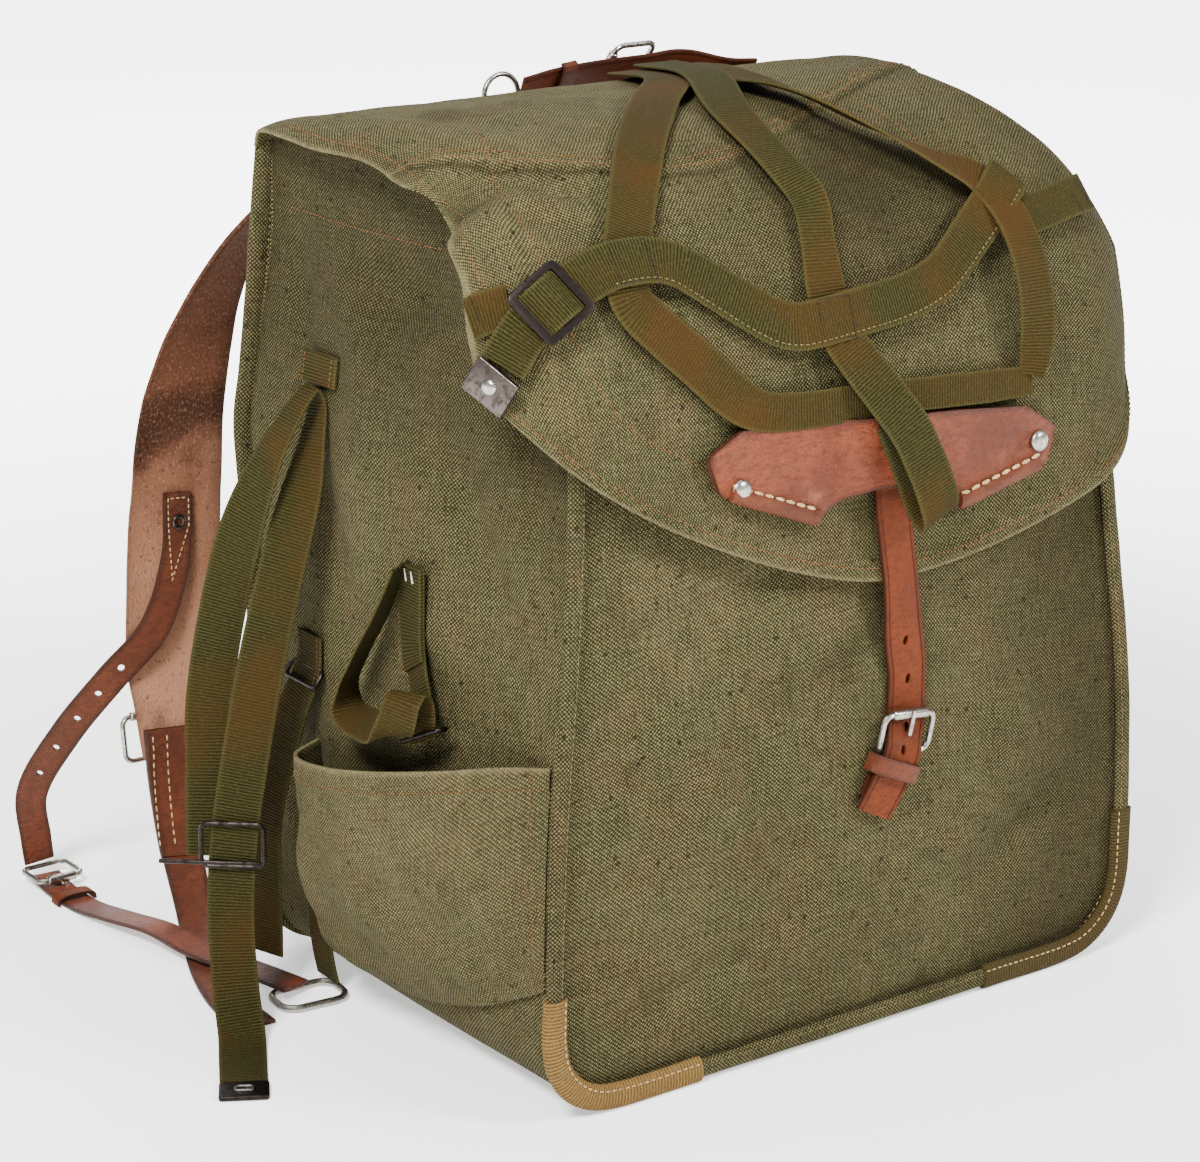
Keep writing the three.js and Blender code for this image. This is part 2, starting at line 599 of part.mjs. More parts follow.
// Welts: stiff edges that stand out along the seam of the front and back walls
function weltStations(half, seam, swell, out, welt, top) {
  const corner = BASE_CORNER - 2;
  const low = BINDING.width / 2 + 0.5;
  const rise = [top, 340, 310, 280, 230, 170, 110, 70];
  const bulge = (x, z) => bodyAt(swell, z) * Math.max(1 - (x / bodyAt(half, z)) ** 2, 0);
  const place = (x, z, outward) => ({
    at: new THREE.Vector3(x, bodyAt(seam, z) + out * (welt.stand + bulge(x, z)), z),
    side: outward,
    width: welt.width,
  });
  const right = rise.map((z) => place(bodyAt(half, z) + welt.out, z, new THREE.Vector3(1, 0, 0)));
  const edge = bodyAt(half, 40) + welt.out - corner;
  for (let k = 0; k <= 4; k += 1) {
    const turn = (k / 4) * (Math.PI / 2);
    const x = edge + corner * Math.cos(turn);
    const z = low + corner * (1 - Math.sin(turn));
    right.push(place(x, z, new THREE.Vector3(Math.cos(turn), 0, -Math.sin(turn))));
  }
  for (const x of [edge * 0.66, edge * 0.33]) right.push(place(x, low, new THREE.Vector3(0, 0, -1)));
  const left = right.map((s) => ({
    at: s.at.clone().multiply(new THREE.Vector3(-1, 1, 1)),
    side: s.side.clone().multiply(new THREE.Vector3(-1, 1, 1)),
    width: s.width,
  }));
  return [...left, ...right.reverse()];
}

const frontSeam = weltStations('frontHalf', 'frontY', 'frontOut', -1, WELT, RIM.front - 30);
const backSeam = weltStations('backHalf', 'backY', 'backOut', 1, BACK_WELT, RIM.side - 6);
add('front_welt', band(frontSeam, WELT.thick, 34, 'round'), 'canvas');
add('back_welt', band(backSeam, BACK_WELT.thick, 28, 'round'), 'canvas');

// Corner bindings: tape sleeves over the lower corners of the front welt
function binding(label, keep, steps) {
  const wider = (extra) => frontSeam.map((s) => ({ ...s, width: s.width + extra }));
  const extra = BINDING.width - WELT.width;
  const bore = band(wider(extra - 2 * BINDING.wall), BINDING.thick - 2 * BINDING.wall, 34, 'round');
  const outer = band(wider(extra).filter((s) => keep(s.at)), BINDING.thick, steps, 'round');
  add(`corner_binding_${label}`, fromSolid(toSolid(outer).subtract(toSolid(bore))), 'tape');
}

binding('left', (p) => p.x < BINDING.leftEnd + 10 && p.z < BINDING.leftTop, 14);
binding('right', (p) => p.x > BINDING.rightEnd && p.z < BINDING.rightTop, 14);

// Flap: a sheet bent over the sides, with a curved and slightly slanting front edge
const flapLine = new THREE.SplineCurve(FLAP_LINE.map((row) => new THREE.Vector2(row.y, row.z)));
const flapLineLength = flapLine.getLength();

function flapFrame(across, along) {
  const share = clamp(along / flapLineLength, 0, 1);
  const line = flapLine.getPointAt(share);
  const heading = flapLine.getTangentAt(share);
  const sag = across > 0 ? Math.sin(Math.PI * clamp(along / FLAP_BEND.reach, 0, 1)) : 0;
  const level = readTable(FLAP_SPREAD, 'along', 'level', along) - FLAP_BEND.rightEarly * sag;
  const radius = FLAP_BEND.radius + FLAP_BEND.rightRadius * sag;
  const turn = Math.max(Math.abs(across) - level, 0) / radius;
  const x = Math.min(Math.abs(across), level) + radius * Math.sin(turn);
  const depth = radius * (1 - Math.cos(turn));
  const up = new THREE.Vector2(heading.y, -heading.x);
  const at = new THREE.Vector3(Math.sign(across) * x, line.x - up.x * depth, line.y - up.y * depth);
  const lean = Math.sign(across) * Math.sin(turn);
  const normal = new THREE.Vector3(lean, up.x * Math.cos(turn), up.y * Math.cos(turn));
  return { at, normal };
}

const flapReach = (w) => FLAP.length - FLAP.edgeDrop * Math.abs(w) ** 1.6 - FLAP.cornerDrop * w ** 8;

function flapSurface(u, v) {
  const w = 2 * u - 1;
  const half = readTable(FLAP_SPREAD, 'along', 'half', v * flapReach(w));
  const along = v * (flapReach(w) + FLAP.skew * w * half);
  return flapFrame(w * half, along).at;
}

add('flap', sheet(flapSurface, 18, 15, FLAP.wall, INSIDE), 'canvas');

// A point at a height over the flap's outer face
function overFlap(across, along, lift) {
  const { at, normal } = flapFrame(across, along);
  return at.addScaledVector(normal, lift);
}

// Leather patch near the flap's front edge
const patchLine = FLAP.length - PATCH.above;
const patchSteps = (PATCH_EDGE.length - 1) * 2;
function patchSurface(u, v) {
  const across = lerp(PATCH_EDGE[0].across, PATCH_EDGE.at(-1).across, u);
  const bottom = readStraight(PATCH_EDGE, 'across', 'bottom', across);
  const top = readStraight(PATCH_EDGE, 'across', 'top', across);
  const rise = lerp(bottom, top, v) + PATCH.tilt * across;
  const bridge = PATCH.bridge * clamp((32 - Math.abs(across)) / 14, 0, 1);
  return overFlap(PATCH.across + across, patchLine - rise, PATCH.thick + 0.5 + bridge);
}
add('flap_patch', sheet(patchSurface, patchSteps, 2, PATCH.thick, INSIDE), 'leather');

// Straps over the flap: where a strap folds back on itself, its width keeps the direction it had
function flapStations(rows) {
  const stations = [];
  rows.forEach((row, k) => {
    const { normal } = flapFrame(row.across, row.along);
    const next = rows[Math.min(k + 1, rows.length - 1)];
    const before = rows[Math.max(k - 1, 0)];
    const heading = overFlap(next.across, next.along, next.lift);
    heading.sub(overFlap(before.across, before.along, before.lift)).normalize();
    const side = new THREE.Vector3().crossVectors(heading, normal);
    const last = stations.at(-1)?.side ?? side;
    if (side.length() < 0.8) side.copy(last);
    if (side.dot(last) < 0) side.negate();
    side.normalize().applyAxisAngle(heading, radians(row.twist));
    const at = overFlap(row.across, row.along, row.lift);
    stations.push({ at, side, width: row.width ?? WEB.width });
  });
  return stations;
}

for (const [name, rows] of Object.entries(FLAP_STRAPS)) {
  add(name, band(flapStations(rows), WEB.thick, (rows.length - 1) * 2, 'flat'), 'web');
}

// Metal tip and slide of the cross strap
function flapAxes(across, along, stepAcross, stepAlong) {
  const { at, normal } = flapFrame(across, along);
  const forward = flapFrame(across + stepAcross, along + stepAlong).at.sub(at).normalize();
  return { at, normal, forward, right: new THREE.Vector3().crossVectors(forward, normal).normalize() };
}

const slideSpot = flapAxes(-178, 276, 15, -7.5);
const crossSlide = add('cross_slide', flatSlide(34, 38, 2.2), 'steel');
stand(crossSlide, slideSpot.at.addScaledVector(slideSpot.normal, 5.4), slideSpot.right, slideSpot.forward);

const tipSpot = flapAxes(-212.4, 310, -13, 15);
const crossTip = add('cross_tip', new THREE.BoxGeometry(26, 18, 3), 'nickel');
stand(crossTip, tipSpot.at.addScaledVector(tipSpot.normal, 4.4), tipSpot.right, tipSpot.forward);

// Closure: a strap from under the patch over the flap's edge, a buckle and a keeper on the front wall
function onFront(x, z, lift) {
  const w = x / bodyAt('frontHalf', z);
  return new THREE.Vector3(x, bodyAt('frontY', z) - bodyAt('frontOut', z) * (1 - w * w) - lift, z);
}

// Middle line of the closure strap: on the flap it is placed by the distance along it, below by height
const CLOSURE_LINE = [
  { x: 8, along: 372, lift: 1.8 },
  { x: 9, along: 400, lift: 1.8 },
  { x: 12, along: 424, lift: 1.8 },
  { x: 15, along: 444, lift: 1.8 },
  { x: 20, z: 220, lift: 6 },
  { x: 24, z: 202, lift: 3.4 },
  { x: 24.5, z: 190, lift: 2.4 },
  { x: 23.5, z: 178, lift: 3 },
  { x: 20.5, z: 167, lift: 5.8 },
  { x: 17.5, z: 158, lift: 8 },
  { x: 14, z: 150, lift: 7.2 },
  { x: 2, z: 127, lift: 4.2 },
];
const closureStations = CLOSURE_LINE.map((row) => ({
  at: row.along ? overFlap(row.x, row.along, row.lift) : onFront(row.x, row.z, row.lift),
  side: new THREE.Vector3(1, 0, row.z && row.z < 172 ? -0.4 : 0.05),
  width: CLOSURE.width,
}));
add('closure_strap', band(closureStations, CLOSURE.thick, 30, 'flat'), 'leather');

const CHAPE_LINE = [
  { x: 18, z: 158, lift: 1.6 },
  { x: 13, z: 147, lift: 1.6 },
  { x: 6, z: 133, lift: 1.6 },
];
const chapeStations = CHAPE_LINE.map((row) => ({
  at: onFront(row.x, row.z, row.lift),
  side: new THREE.Vector3(1, 0, -0.45),
  width: CLOSURE.width - 1,
}));
add('buckle_chape', band(chapeStations, CLOSURE.thick, 4, 'flat'), 'leather');

const closureBuckle = add('closure_buckle', rollerBuckle(33, 21), 'nickel');
const buckleSpot = onFront(CLOSURE.buckleX, CLOSURE.buckleZ, 6);
stand(closureBuckle, buckleSpot, new THREE.Vector3(1, 0, -0.12), new THREE.Vector3(0.12, -0.12, 1));

// Keeper: a leather staple over the strap and the chape
const KEEPER_LINE = [
  { across: -16, lift: 1.4 },
  { across: -15, lift: 8 },
  { across: -11, lift: 10.6 },
  { across: 11, lift: 10.6 },
  { across: 15, lift: 8 },
  { across: 16, lift: 1.4 },
];
const keeperStations = KEEPER_LINE.map((row) => ({
  at: onFront(14 + row.across * 0.91, 150 - row.across * 0.41, row.lift),
  side: new THREE.Vector3(0.41, 0, 0.91),
  width: 10,
}));
add('chape_keeper', band(keeperStations, 1.8, 14, 'flat'), 'leather');

// Side pocket: a swelling sheet on the side wall, open along its top
function pocketSurface(sign) {
  const first = POCKET[0].share;
  const last = POCKET.at(-1).share;
  return (u, v) => {
    const share = lerp(first, last, (1 - Math.cos(Math.PI * u)) / 2);
    const low = readTable(POCKET, 'share', 'bottom', share);
    const high = readTable(POCKET, 'share', 'top', share);
    const swell = readTable(POCKET, 'share', 'swell', share);
    const rise = v ** 1.3;
    const fill = Math.sin(Math.min(rise / 0.55, 1) * (Math.PI / 2)) * (1 - 0.12 * rise ** 3);
    const point = sidePoint(sign, share, lerp(low, high, rise));
    point.x += sign * (CANVAS + 0.6 + swell * fill);
    return point;
  };
}

// Free straps of one side
function freeStations(rows, sign) {
  return rows.map((row) => {
    const bearing = radians(row.bearing);
    const pitch = radians(row.pitch);
    const level = Math.cos(pitch);
    return {
      at: new THREE.Vector3(sign * row.x, row.y, row.z),
      side: new THREE.Vector3(sign * Math.cos(bearing) * level, Math.sin(bearing) * level, Math.sin(pitch)),
      width: row.width,
    };
  });
}

const STRAP_MAKE = {
  side_strap: { thick: WEB.thick, look: 'web', fine: 2 },
  lower_web: { thick: WEB.thick, look: 'web', fine: 2 },
  pocket_strap: { thick: WEB.thick, look: 'web', fine: 2 },
  shoulder_strap: { thick: 3, look: 'suede', fine: 2 },
  strap_end: { thick: LEATHER, look: 'leather', fine: 2 },
  steady_strap: { thick: LEATHER, look: 'leather', fine: 2 },
  steady_end: { thick: LEATHER, look: 'leather', fine: 2 },
  ring_tab: { thick: WEB.thick, look: 'web', fine: 2 },
};

for (const { label, sign } of SIDES) {
  const spot = (x, y, z) => new THREE.Vector3(sign * x, y, z);
  add(`pocket_${label}`, sheet(pocketSurface(sign), 11, 7, CANVAS, INSIDE), 'canvas');
  for (const [name, make] of Object.entries(STRAP_MAKE)) {
    const stations = freeStations(SIDE_STRAPS[name], sign);
    const strap = band(stations, make.thick, (stations.length - 1) * make.fine, 'flat');
    add(`${name}_${label}`, strap, make.look);
  }

  const tab = add(`side_tab_${label}`, new THREE.BoxGeometry(30, 16, 2), 'web');
  stand(tab, spot(197.5, 64, 349.5), spot(-0.12, -1, 0), spot(-0.16, 0, 1));

  const largeLoop = wireLoop(roundedLoop(46, 19.3, 4, 2), WIRE.slide, 6);
  const sideSlide = add(`side_slide_${label}`, largeLoop, 'steel');
  stand(sideSlide, spot(259.3, 71.7, 104), spot(0.77, 0.64, 0), spot(-0.64, 0.77, 0.1));

  const sideTip = add(`side_tip_${label}`, new THREE.BoxGeometry(26, 18, 2.6), 'steel');
  stand(sideTip, spot(296.7, -10.5, 1.7), spot(0.86, 0.5, 0), spot(0.5, -0.86, 0));

  const smallLoop = wireLoop(roundedLoop(30, 7, 3, 2), WIRE.slide, 6);
  const pocketSlide = add(`pocket_slide_${label}`, smallLoop, 'steel');
  stand(pocketSlide, spot(207, -47, 194.6), spot(0.05, 0.71, -0.7), spot(0.97, 0.13, 0.2));

  const strapBuckle = add(`strap_buckle_${label}`, rollerBuckle(48, 26), 'nickel');
  stand(strapBuckle, spot(194, 259.4, 92), new THREE.Vector3(1, 0, 0), new THREE.Vector3(0, 0.12, 1));

  const steadyBuckle = add(`steady_buckle_${label}`, rollerBuckle(28, 24), 'nickel');
  stand(steadyBuckle, spot(251, 294, 7.2), new THREE.Vector3(1, 0, 0), new THREE.Vector3(0, -1, 0));

  const baseRing = add(`base_ring_${label}`, wireLoop(roundedLoop(38, 26, 9, 2), WIRE.ring, 6), 'nickel');
  stand(baseRing, spot(212, 68, 2.6), spot(1, 0.1, 0), new THREE.Vector3(0, 1, 0));
}

// Top of the back: a yoke patch over the upper ends of the shoulder straps, a neck strap, its buckle and ring
function onBack(x, z, lift) {
  const w = x / bodyAt('backHalf', z);
  return new THREE.Vector3(x, bodyAt('backY', z) + bodyAt('backOut', z) * (1 - w * w) + lift, z);
}

const YOKE = { half: 56, low: 376, high: 416, thick: 3, bridge: 6 };
function yokeSurface(u, v) {
  const lift = YOKE.thick + 0.6 + YOKE.bridge * clamp(v * 2, 0, 1);
  return onBack(lerp(-YOKE.half, YOKE.half, u), lerp(YOKE.low, YOKE.high, v), lift);
}
add('yoke_patch', sheet(yokeSurface, 6, 4, YOKE.thick, INSIDE), 'leather');

const NECK_LINE = [
  { x: -22, y: 137, z: 463, pitch: 60 },
  { x: 4, y: 138, z: 467, pitch: 55 },
  { x: 54, y: 139, z: 469, pitch: 50 },
  { x: 84, y: 135, z: 470, pitch: 50 },
  { x: 104, y: 124.4, z: 465.6, pitch: 47 },
  { x: 124, y: 122, z: 463.4, pitch: 47 },
];
const neckStations = NECK_LINE.map((row) => ({
  at: new THREE.Vector3(row.x, row.y, row.z),
  side: new THREE.Vector3(0, -Math.cos(radians(row.pitch)), Math.sin(radians(row.pitch))),
  width: 22,
}));
add('neck_strap', band(neckStations, LEATHER, 12, 'flat'), 'leather');

const neckBuckle = add('neck_buckle', rollerBuckle(30, 26), 'nickel');
const neckTilt = new THREE.Vector3(0, -0.64, 0.77);
stand(neckBuckle, new THREE.Vector3(54, 143.6, 472), neckTilt, new THREE.Vector3(-1, 0, 0));

const neckRing = add('neck_ring', wireLoop(roundedLoop(22, 22, 11, 3), 3, 6), 'nickel');
stand(neckRing, new THREE.Vector3(-35, 137, 464), new THREE.Vector3(1, 0, 0), new THREE.Vector3(0, 0, 1));

export default part;
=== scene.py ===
import math
from bisect import bisect_right

import bpy
from mathutils import Matrix, Vector, noise


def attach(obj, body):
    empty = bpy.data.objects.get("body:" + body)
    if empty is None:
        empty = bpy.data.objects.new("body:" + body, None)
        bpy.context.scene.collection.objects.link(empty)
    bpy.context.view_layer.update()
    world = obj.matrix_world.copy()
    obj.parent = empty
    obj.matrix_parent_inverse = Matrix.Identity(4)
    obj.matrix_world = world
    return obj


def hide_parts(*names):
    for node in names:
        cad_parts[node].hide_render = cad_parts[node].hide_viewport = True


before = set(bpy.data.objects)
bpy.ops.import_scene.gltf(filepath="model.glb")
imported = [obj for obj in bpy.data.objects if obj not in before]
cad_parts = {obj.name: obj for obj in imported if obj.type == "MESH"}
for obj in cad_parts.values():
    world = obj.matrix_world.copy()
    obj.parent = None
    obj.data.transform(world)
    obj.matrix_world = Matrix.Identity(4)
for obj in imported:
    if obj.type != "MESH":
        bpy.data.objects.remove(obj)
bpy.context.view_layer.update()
mm = 0.001  # routes and tables below are in millimetres
print("frame loaded:", len(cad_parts), "nodes")

# Camera, light and floor

shot = {
    "lens": 100, "sensor": 36, "clipEnd": 120,
    "azimuth": -35.6, "elevation": 17.8, "distance": 1759, "target": (-67, 0, 228),
}
studio = {
    "sky": (0.93, 0.94, 0.96), "skyStrength": 0.45,
    # place, aim and size in metres, then watts
    "lamps": [
        ("left_softbox", (-1.7, -1.0, 2.2), (0, 0, 0.2), 0.7, 182),
        ("right_softbox", (1.3, -2.2, 2.0), (0, 0, 0.22), 0.7, 122),
        ("top_softbox", (0.2, 0.5, 2.5), (0, 0, 0.2), 1.8, 40),
        ("back_softbox", (0.8, 2.5, 1.5), (0, 0, 0.25), 1.6, 54),
    ],
    "floorHalf": 40.0, "floorColour": (248, 248, 247), "floorShade": (245, 245, 244), "floorGlow": 4.5,
    "nearGlow": (0.15, 0.15, 0.15, 1), "farGlow": (1, 1, 1, 1), "glowReach": (0.3, 1.7),
}


def lookAt(thing, at, aim):
    thing.location = at
    thing.rotation_euler = (Vector(aim) - Vector(at)).to_track_quat("-Z", "Y").to_euler()


camera = bpy.data.objects.new("photo_camera", bpy.data.cameras.new("photo_camera"))
bpy.context.collection.objects.link(camera)
camera.data.lens = shot["lens"]
camera.data.sensor_width = shot["sensor"]
camera.data.clip_end = shot["clipEnd"]
turn, tilt = math.radians(shot["azimuth"]), math.radians(shot["elevation"])
away = Vector((math.sin(turn) * math.cos(tilt), -math.cos(turn) * math.cos(tilt), math.sin(tilt)))
aim = Vector(shot["target"]) * mm
lookAt(camera, aim + away * shot["distance"] * mm, aim)
bpy.context.scene.camera = camera

for label, at, target, size, watts in studio["lamps"]:
    lamp = bpy.data.objects.new(label, bpy.data.lights.new(label, "AREA"))
    lamp.data.size = size
    lamp.data.energy = watts
    bpy.context.collection.objects.link(lamp)
    lookAt(lamp, at, target)

world = bpy.data.worlds.new("studio_sky")
bpy.context.scene.world = world
world.use_nodes = True
world.node_tree.nodes["Background"].inputs["Color"].default_value = (*studio["sky"], 1)
world.node_tree.nodes["Background"].inputs["Strength"].default_value = studio["skyStrength"]
print("camera and light set")


# Finishes

def paint(colour):  # a screen colour as the shader wants it
    def linear(c):
        c /= 255
        return c / 12.92 if c <= 0.04045 else ((c + 0.055) / 1.055) ** 2.4
    return (*[linear(c) for c in colour], 1)


def wireSum(operation, turned=False):
    def combine(self, other):
        return self.math(operation, other, self) if turned else self.math(operation, self, other)
    return combine


class Wire:  # a socket that can be used in sums
    def __init__(self, finish, socket):
        self.finish = finish
        self.socket = socket

    def math(self, operation, first, second=None):
        sockets = {0: first} if second is None else {0: first, 1: second}
        return self.finish.add("Math", {"operation": operation}, sockets)

    __add__ = wireSum("ADD")
    __radd__ = wireSum("ADD", True)
    __sub__ = wireSum("SUBTRACT")
    __rsub__ = wireSum("SUBTRACT", True)
    __mul__ = wireSum("MULTIPLY")
    __rmul__ = wireSum("MULTIPLY", True)
    __pow__ = wireSum("POWER")
    least = wireSum("MINIMUM")
    most = wireSum("MAXIMUM")

    def __abs__(self):
        return self.math("ABSOLUTE", self)

    def sine(self):
        return self.math("SINE", self)


class Finish:  # one material and its nodes
    def __init__(self, name, **constants):
        self.material = bpy.data.materials.new(name)
        self.material.use_nodes = True
        self.tree = self.material.node_tree
        self.shader = self.tree.nodes["Principled BSDF"]
        for socket, value in constants.items():
            self.shader.inputs[socket.replace("_", " ")].default_value = value

    def plug(self, socket, value):
        if isinstance(value, Wire):
            self.tree.links.new(value.socket, socket)
        else:
            socket.default_value = value

    def add(self, kind, settings=None, sockets=None, out=0):
        node = self.tree.nodes.new("ShaderNode" + kind)
        for key, value in (settings or {}).items():
            if key == "stops":
                while len(node.color_ramp.elements) < len(value):
                    node.color_ramp.elements.new(1)
                for stop, (place, colour) in zip(node.color_ramp.elements, value):
                    stop.position, stop.color = place, colour
            else:
                setattr(node, key, value)
        for key, value in (sockets or {}).items():
            self.plug(node.inputs[key], value)
        return Wire(self, node.outputs[out])

    def mix(self, factor, first, second):
        return self.add("Mix", {"data_type": "RGBA"}, {0: factor, 6: first, 7: second}, 2)

    def stretch(self, vector, x, y, z=1):
        return self.add("VectorMath", {"operation": "MULTIPLY"}, {0: vector, 1: (x, y, z)})

    def grain(self, vector, scale, detail=2, rough=0.5):
        sockets = {"Vector": vector, "Scale": scale, "Detail": detail, "Roughness": rough}
        return self.add("TexNoise", {}, sockets)

    def ease(self, value, low, high):
        sockets = {"Value": value, "From Min": low, "From Max": high}
        return self.add("MapRange", {"interpolation_type": "SMOOTHSTEP"}, sockets)

    def parts(self, vector):
        split = self.add("SeparateXYZ", {}, {0: vector})
        return split, Wire(self, split.socket.node.outputs[1])

    def mark(self, name):  # a value kept on the piece's own points
        return self.add("Attribute", {"attribute_name": name}, {}, "Fac")

    def cut(self):  # metres over the flat cloth or along the strap
        return self.add("UVMap", {"uv_map": "cut"})

    def place(self):
        return self.add("TexCoord", {}, {}, "Object")

    def dress(self, colour=None, rough=None, height=None, deep=0.0003, strength=0.6):
        if colour is not None:
            self.plug(self.shader.inputs["Base Color"], colour)
        if rough is not None:
            self.plug(self.shader.inputs["Roughness"], rough)
        if height is not None:
            bump = self.add("Bump", {}, {"Strength": strength, "Distance": deep, "Height": height})
            self.plug(self.shader.inputs["Normal"], bump)
        return self.material


canvasLook = {
    "thread": 1.12, "dark": (20, 17, 6), "light": (61, 59, 33), "brown": (74, 59, 36), "pale": (92, 85, 56),
    "dot": (134, 126, 90), "slub": (17, 11, 4), "shade": (20, 16, 6), "worn": (118, 108, 78),
}


def canvasFinish(name, look):
    f = Finish(name, Roughness=0.95, Specular_IOR_Level=0.08)
    cut = f.cut()
    sway = f.grain(cut, 240, 2) - 0.5  # the threads wander a little
    u, v = f.parts(cut)
    turns = math.pi / (look["thread"] * mm)
    weave = ((u + sway * 0.0006) * turns).sine() * ((v + sway * 0.0006) * turns).sine()
    along = f.grain(f.stretch(cut, 60, 950), 1, 2)
    across = f.grain(f.stretch(cut, 950, 60), 1, 2)
    slub = f.ease(along.most(across), 0.69, 0.78)
    fleck = f.ease(f.grain(cut, 330, 2), 0.7, 0.78)  # dark specks spun into the yarn
    speck = f.add("TexVoronoi", {}, {"Vector": cut, "Scale": 95}, "Distance")
    speck = (1 - f.ease(speck, 0.08, 0.17)) * f.ease(f.grain(cut, 45, 2), 0.4, 0.52)
    place = f.place()
    hue = f.ease(f.grain(place, 34, 4, 0.6), 0.42, 0.64)
    fade = f.ease(f.grain(place, 7, 4, 0.6), 0.46, 0.70)
    grime = f.ease(f.grain(place, 19, 4, 0.65), 0.54, 0.74)
    light = f.mix(hue * 0.65, paint(look["light"]), paint(look["brown"]))
    light = f.mix(fade * 0.4, light, paint(look["pale"]))
    uneven = (along + across - 1) * 0.9 + (f.grain(cut, 640, 1) - 0.5) * 0.9
    body = f.mix(weave * 0.5 + 0.55 + uneven * 0.7, paint(look["dark"]), light)
    lit = f.ease(weave + uneven, 0.2, 0.95)  # raised threads catch the light
    body = f.mix(lit * 0.62, body, paint(look["dot"]))
    rub = f.mark("worn")  # below nought is painted shade (on the welts a darker tone), above is rubbed
    # random grime and the painted shade both darken towards the shade colour
    body = f.mix((grime * 0.4).most(rub * -1), body, paint(look["shade"]))
    body = f.mix(slub * 0.65, body, paint(look["slub"]))
    body = f.mix((fleck * 0.7).most(speck * 0.72), body, paint(look["slub"]))
    rubbed = rub.most(0) * (f.grain(cut, 160, 3, 0.6) * 1.5).least(1)
    body = f.mix(rubbed, body, paint(look["worn"]))
    height = abs(weave) * 0.6 + weave * 0.35 + along * 0.5 + across * 0.5
    return f.dress(body, None, height, 0.0005, 0.75)


webLook = {
    "rib": 1.75, "base": (49, 49, 20), "dark": (17, 16, 5), "light": (72, 69, 37), "stain": (58, 38, 12),
    "stained": 0.08,
}


def webFinish(name, look):
    f = Finish(name, Roughness=0.92, Specular_IOR_Level=0.08)
    cut = f.cut()
    u, v = f.parts(cut)
    sway = f.grain(cut, 300, 2) - 0.5
    rib = ((v + sway * 0.0006) * (2 * math.pi / (look["rib"] * mm))).sine()
    cord = ((u + sway * 0.0004) * (2 * math.pi / (1.3 * mm))).sine()
    cloth = rib * 0.5 + 0.5
    body = f.mix(cloth, paint(look["dark"]), paint(look["base"]))
    body = f.mix(f.ease(f.grain(f.stretch(cut, 500, 900), 1, 2), 0.5, 0.8) * 0.5, body, paint(look["light"]))
    stain = f.ease(f.grain(f.place(), 15, 3, 0.55), 0.42, 0.66)
    body = f.mix(stain * 0.5 + look["stained"], body, paint(look["stain"]))
    body = f.mix(f.mark("worn") * 0.35, body, paint(look["light"]))
    return f.dress(body, None, rib * 0.7 + cord * 0.25 + f.grain(cut, 1500, 2), 0.0005, 0.8)


leatherLook = {
    "base": (114, 55, 31), "deep": (66, 27, 14), "pale": (150, 94, 67), "edge": (40, 17, 9), "rough": 0.38,
    "gloss": 0.17, "grain": 950,
}


def leatherFinish(name, look):
    f = Finish(name, Specular_IOR_Level=look["gloss"])
    place = f.place()
    tone = f.grain(place, 24, 4, 0.6)
    cell = f.add("TexVoronoi", {"feature": "DISTANCE_TO_EDGE"}, {"Vector": place, "Scale": look["grain"]})
    pore = f.ease(cell, 0.0, 0.16)
    wrinkle = f.grain(f.stretch(place, 1, 1, 2.2), 210, 4, 0.65)
    scuff = f.ease(f.grain(place, 70, 4, 0.7), 0.58, 0.74)
    body = f.mix(f.ease(tone, 0.34, 0.66) * 0.6 + 0.4, paint(look["deep"]), paint(look["base"]))
    body = f.mix(f.ease(wrinkle, 0.46, 0.62) * 0.5, body, paint(look["deep"]))
    body = f.mix(scuff * 0.4, body, paint(look["pale"]))
    body = f.mix((1 - pore) * 0.3, body, paint(look["edge"]))
    body = f.mix(f.mark("worn") * 0.8, body, paint(look["edge"]))
    rough = look["rough"] + scuff * 0.25 + (tone - 0.5) * 0.3
    return f.dress(body, rough, pore * 0.35 + wrinkle * 2, 0.0008, 0.7)


roughLook = {
    "top": (68, 41, 28), "middle": (104, 65, 45), "low": (160, 114, 88), "stain": (34, 18, 11),
    "fibre": (182, 138, 110), "band": 0.32,
}


def roughFinish(name, look):
    f = Finish(name, Roughness=0.95, Specular_IOR_Level=0.08)
    cut = f.cut()
    u, v = f.parts(cut)
    place = f.place()
    cloud = f.grain(place, 18, 4, 0.65)
    fall = f.add("MapRange", {}, {"Value": v + (cloud - 0.5) * 0.16, "From Min": 0.12, "From Max": 0.44})
    stops = [(0, paint(look["top"])), (0.6, paint(look["middle"])), (1, paint(look["low"]))]
    body = f.add("ValToRGB", {"stops": stops}, {0: fall})
    fibre = f.grain(f.stretch(cut, 700, 420), 1, 4, 0.7)
    pit = f.ease(f.grain(cut, 330, 3, 0.6), 0.58, 0.7)
    offBand = abs(v - look["band"] + (cloud - 0.5) * 0.07)
    creaseShade = 1 - f.ease(offBand, 0.004, 0.03)  # painted shade of a crease across the strap
    stain = f.ease(f.grain(place, 26, 3, 0.6), 0.56, 0.72)
    # stains and the painted crease shade both take the stain colour
    body = f.mix((stain * 0.45).most(creaseShade * 0.75), body, paint(look["stain"]))
    body = f.mix(f.ease(fibre, 0.5, 0.74) * 0.55, body, paint(look["fibre"]))
    body = f.mix(pit * 0.55, body, paint(look["stain"]))
    body = f.mix(f.mark("worn") * 0.6, body, paint(look["stain"]))
    return f.dress(body, None, fibre * 1.2 + cloud * 1.4 - pit * 0.5, 0.0009, 0.8)


metalLook = {"base": (158, 154, 146), "dull": (78, 70, 61), "rough": 0.27, "soiled": 0.5}


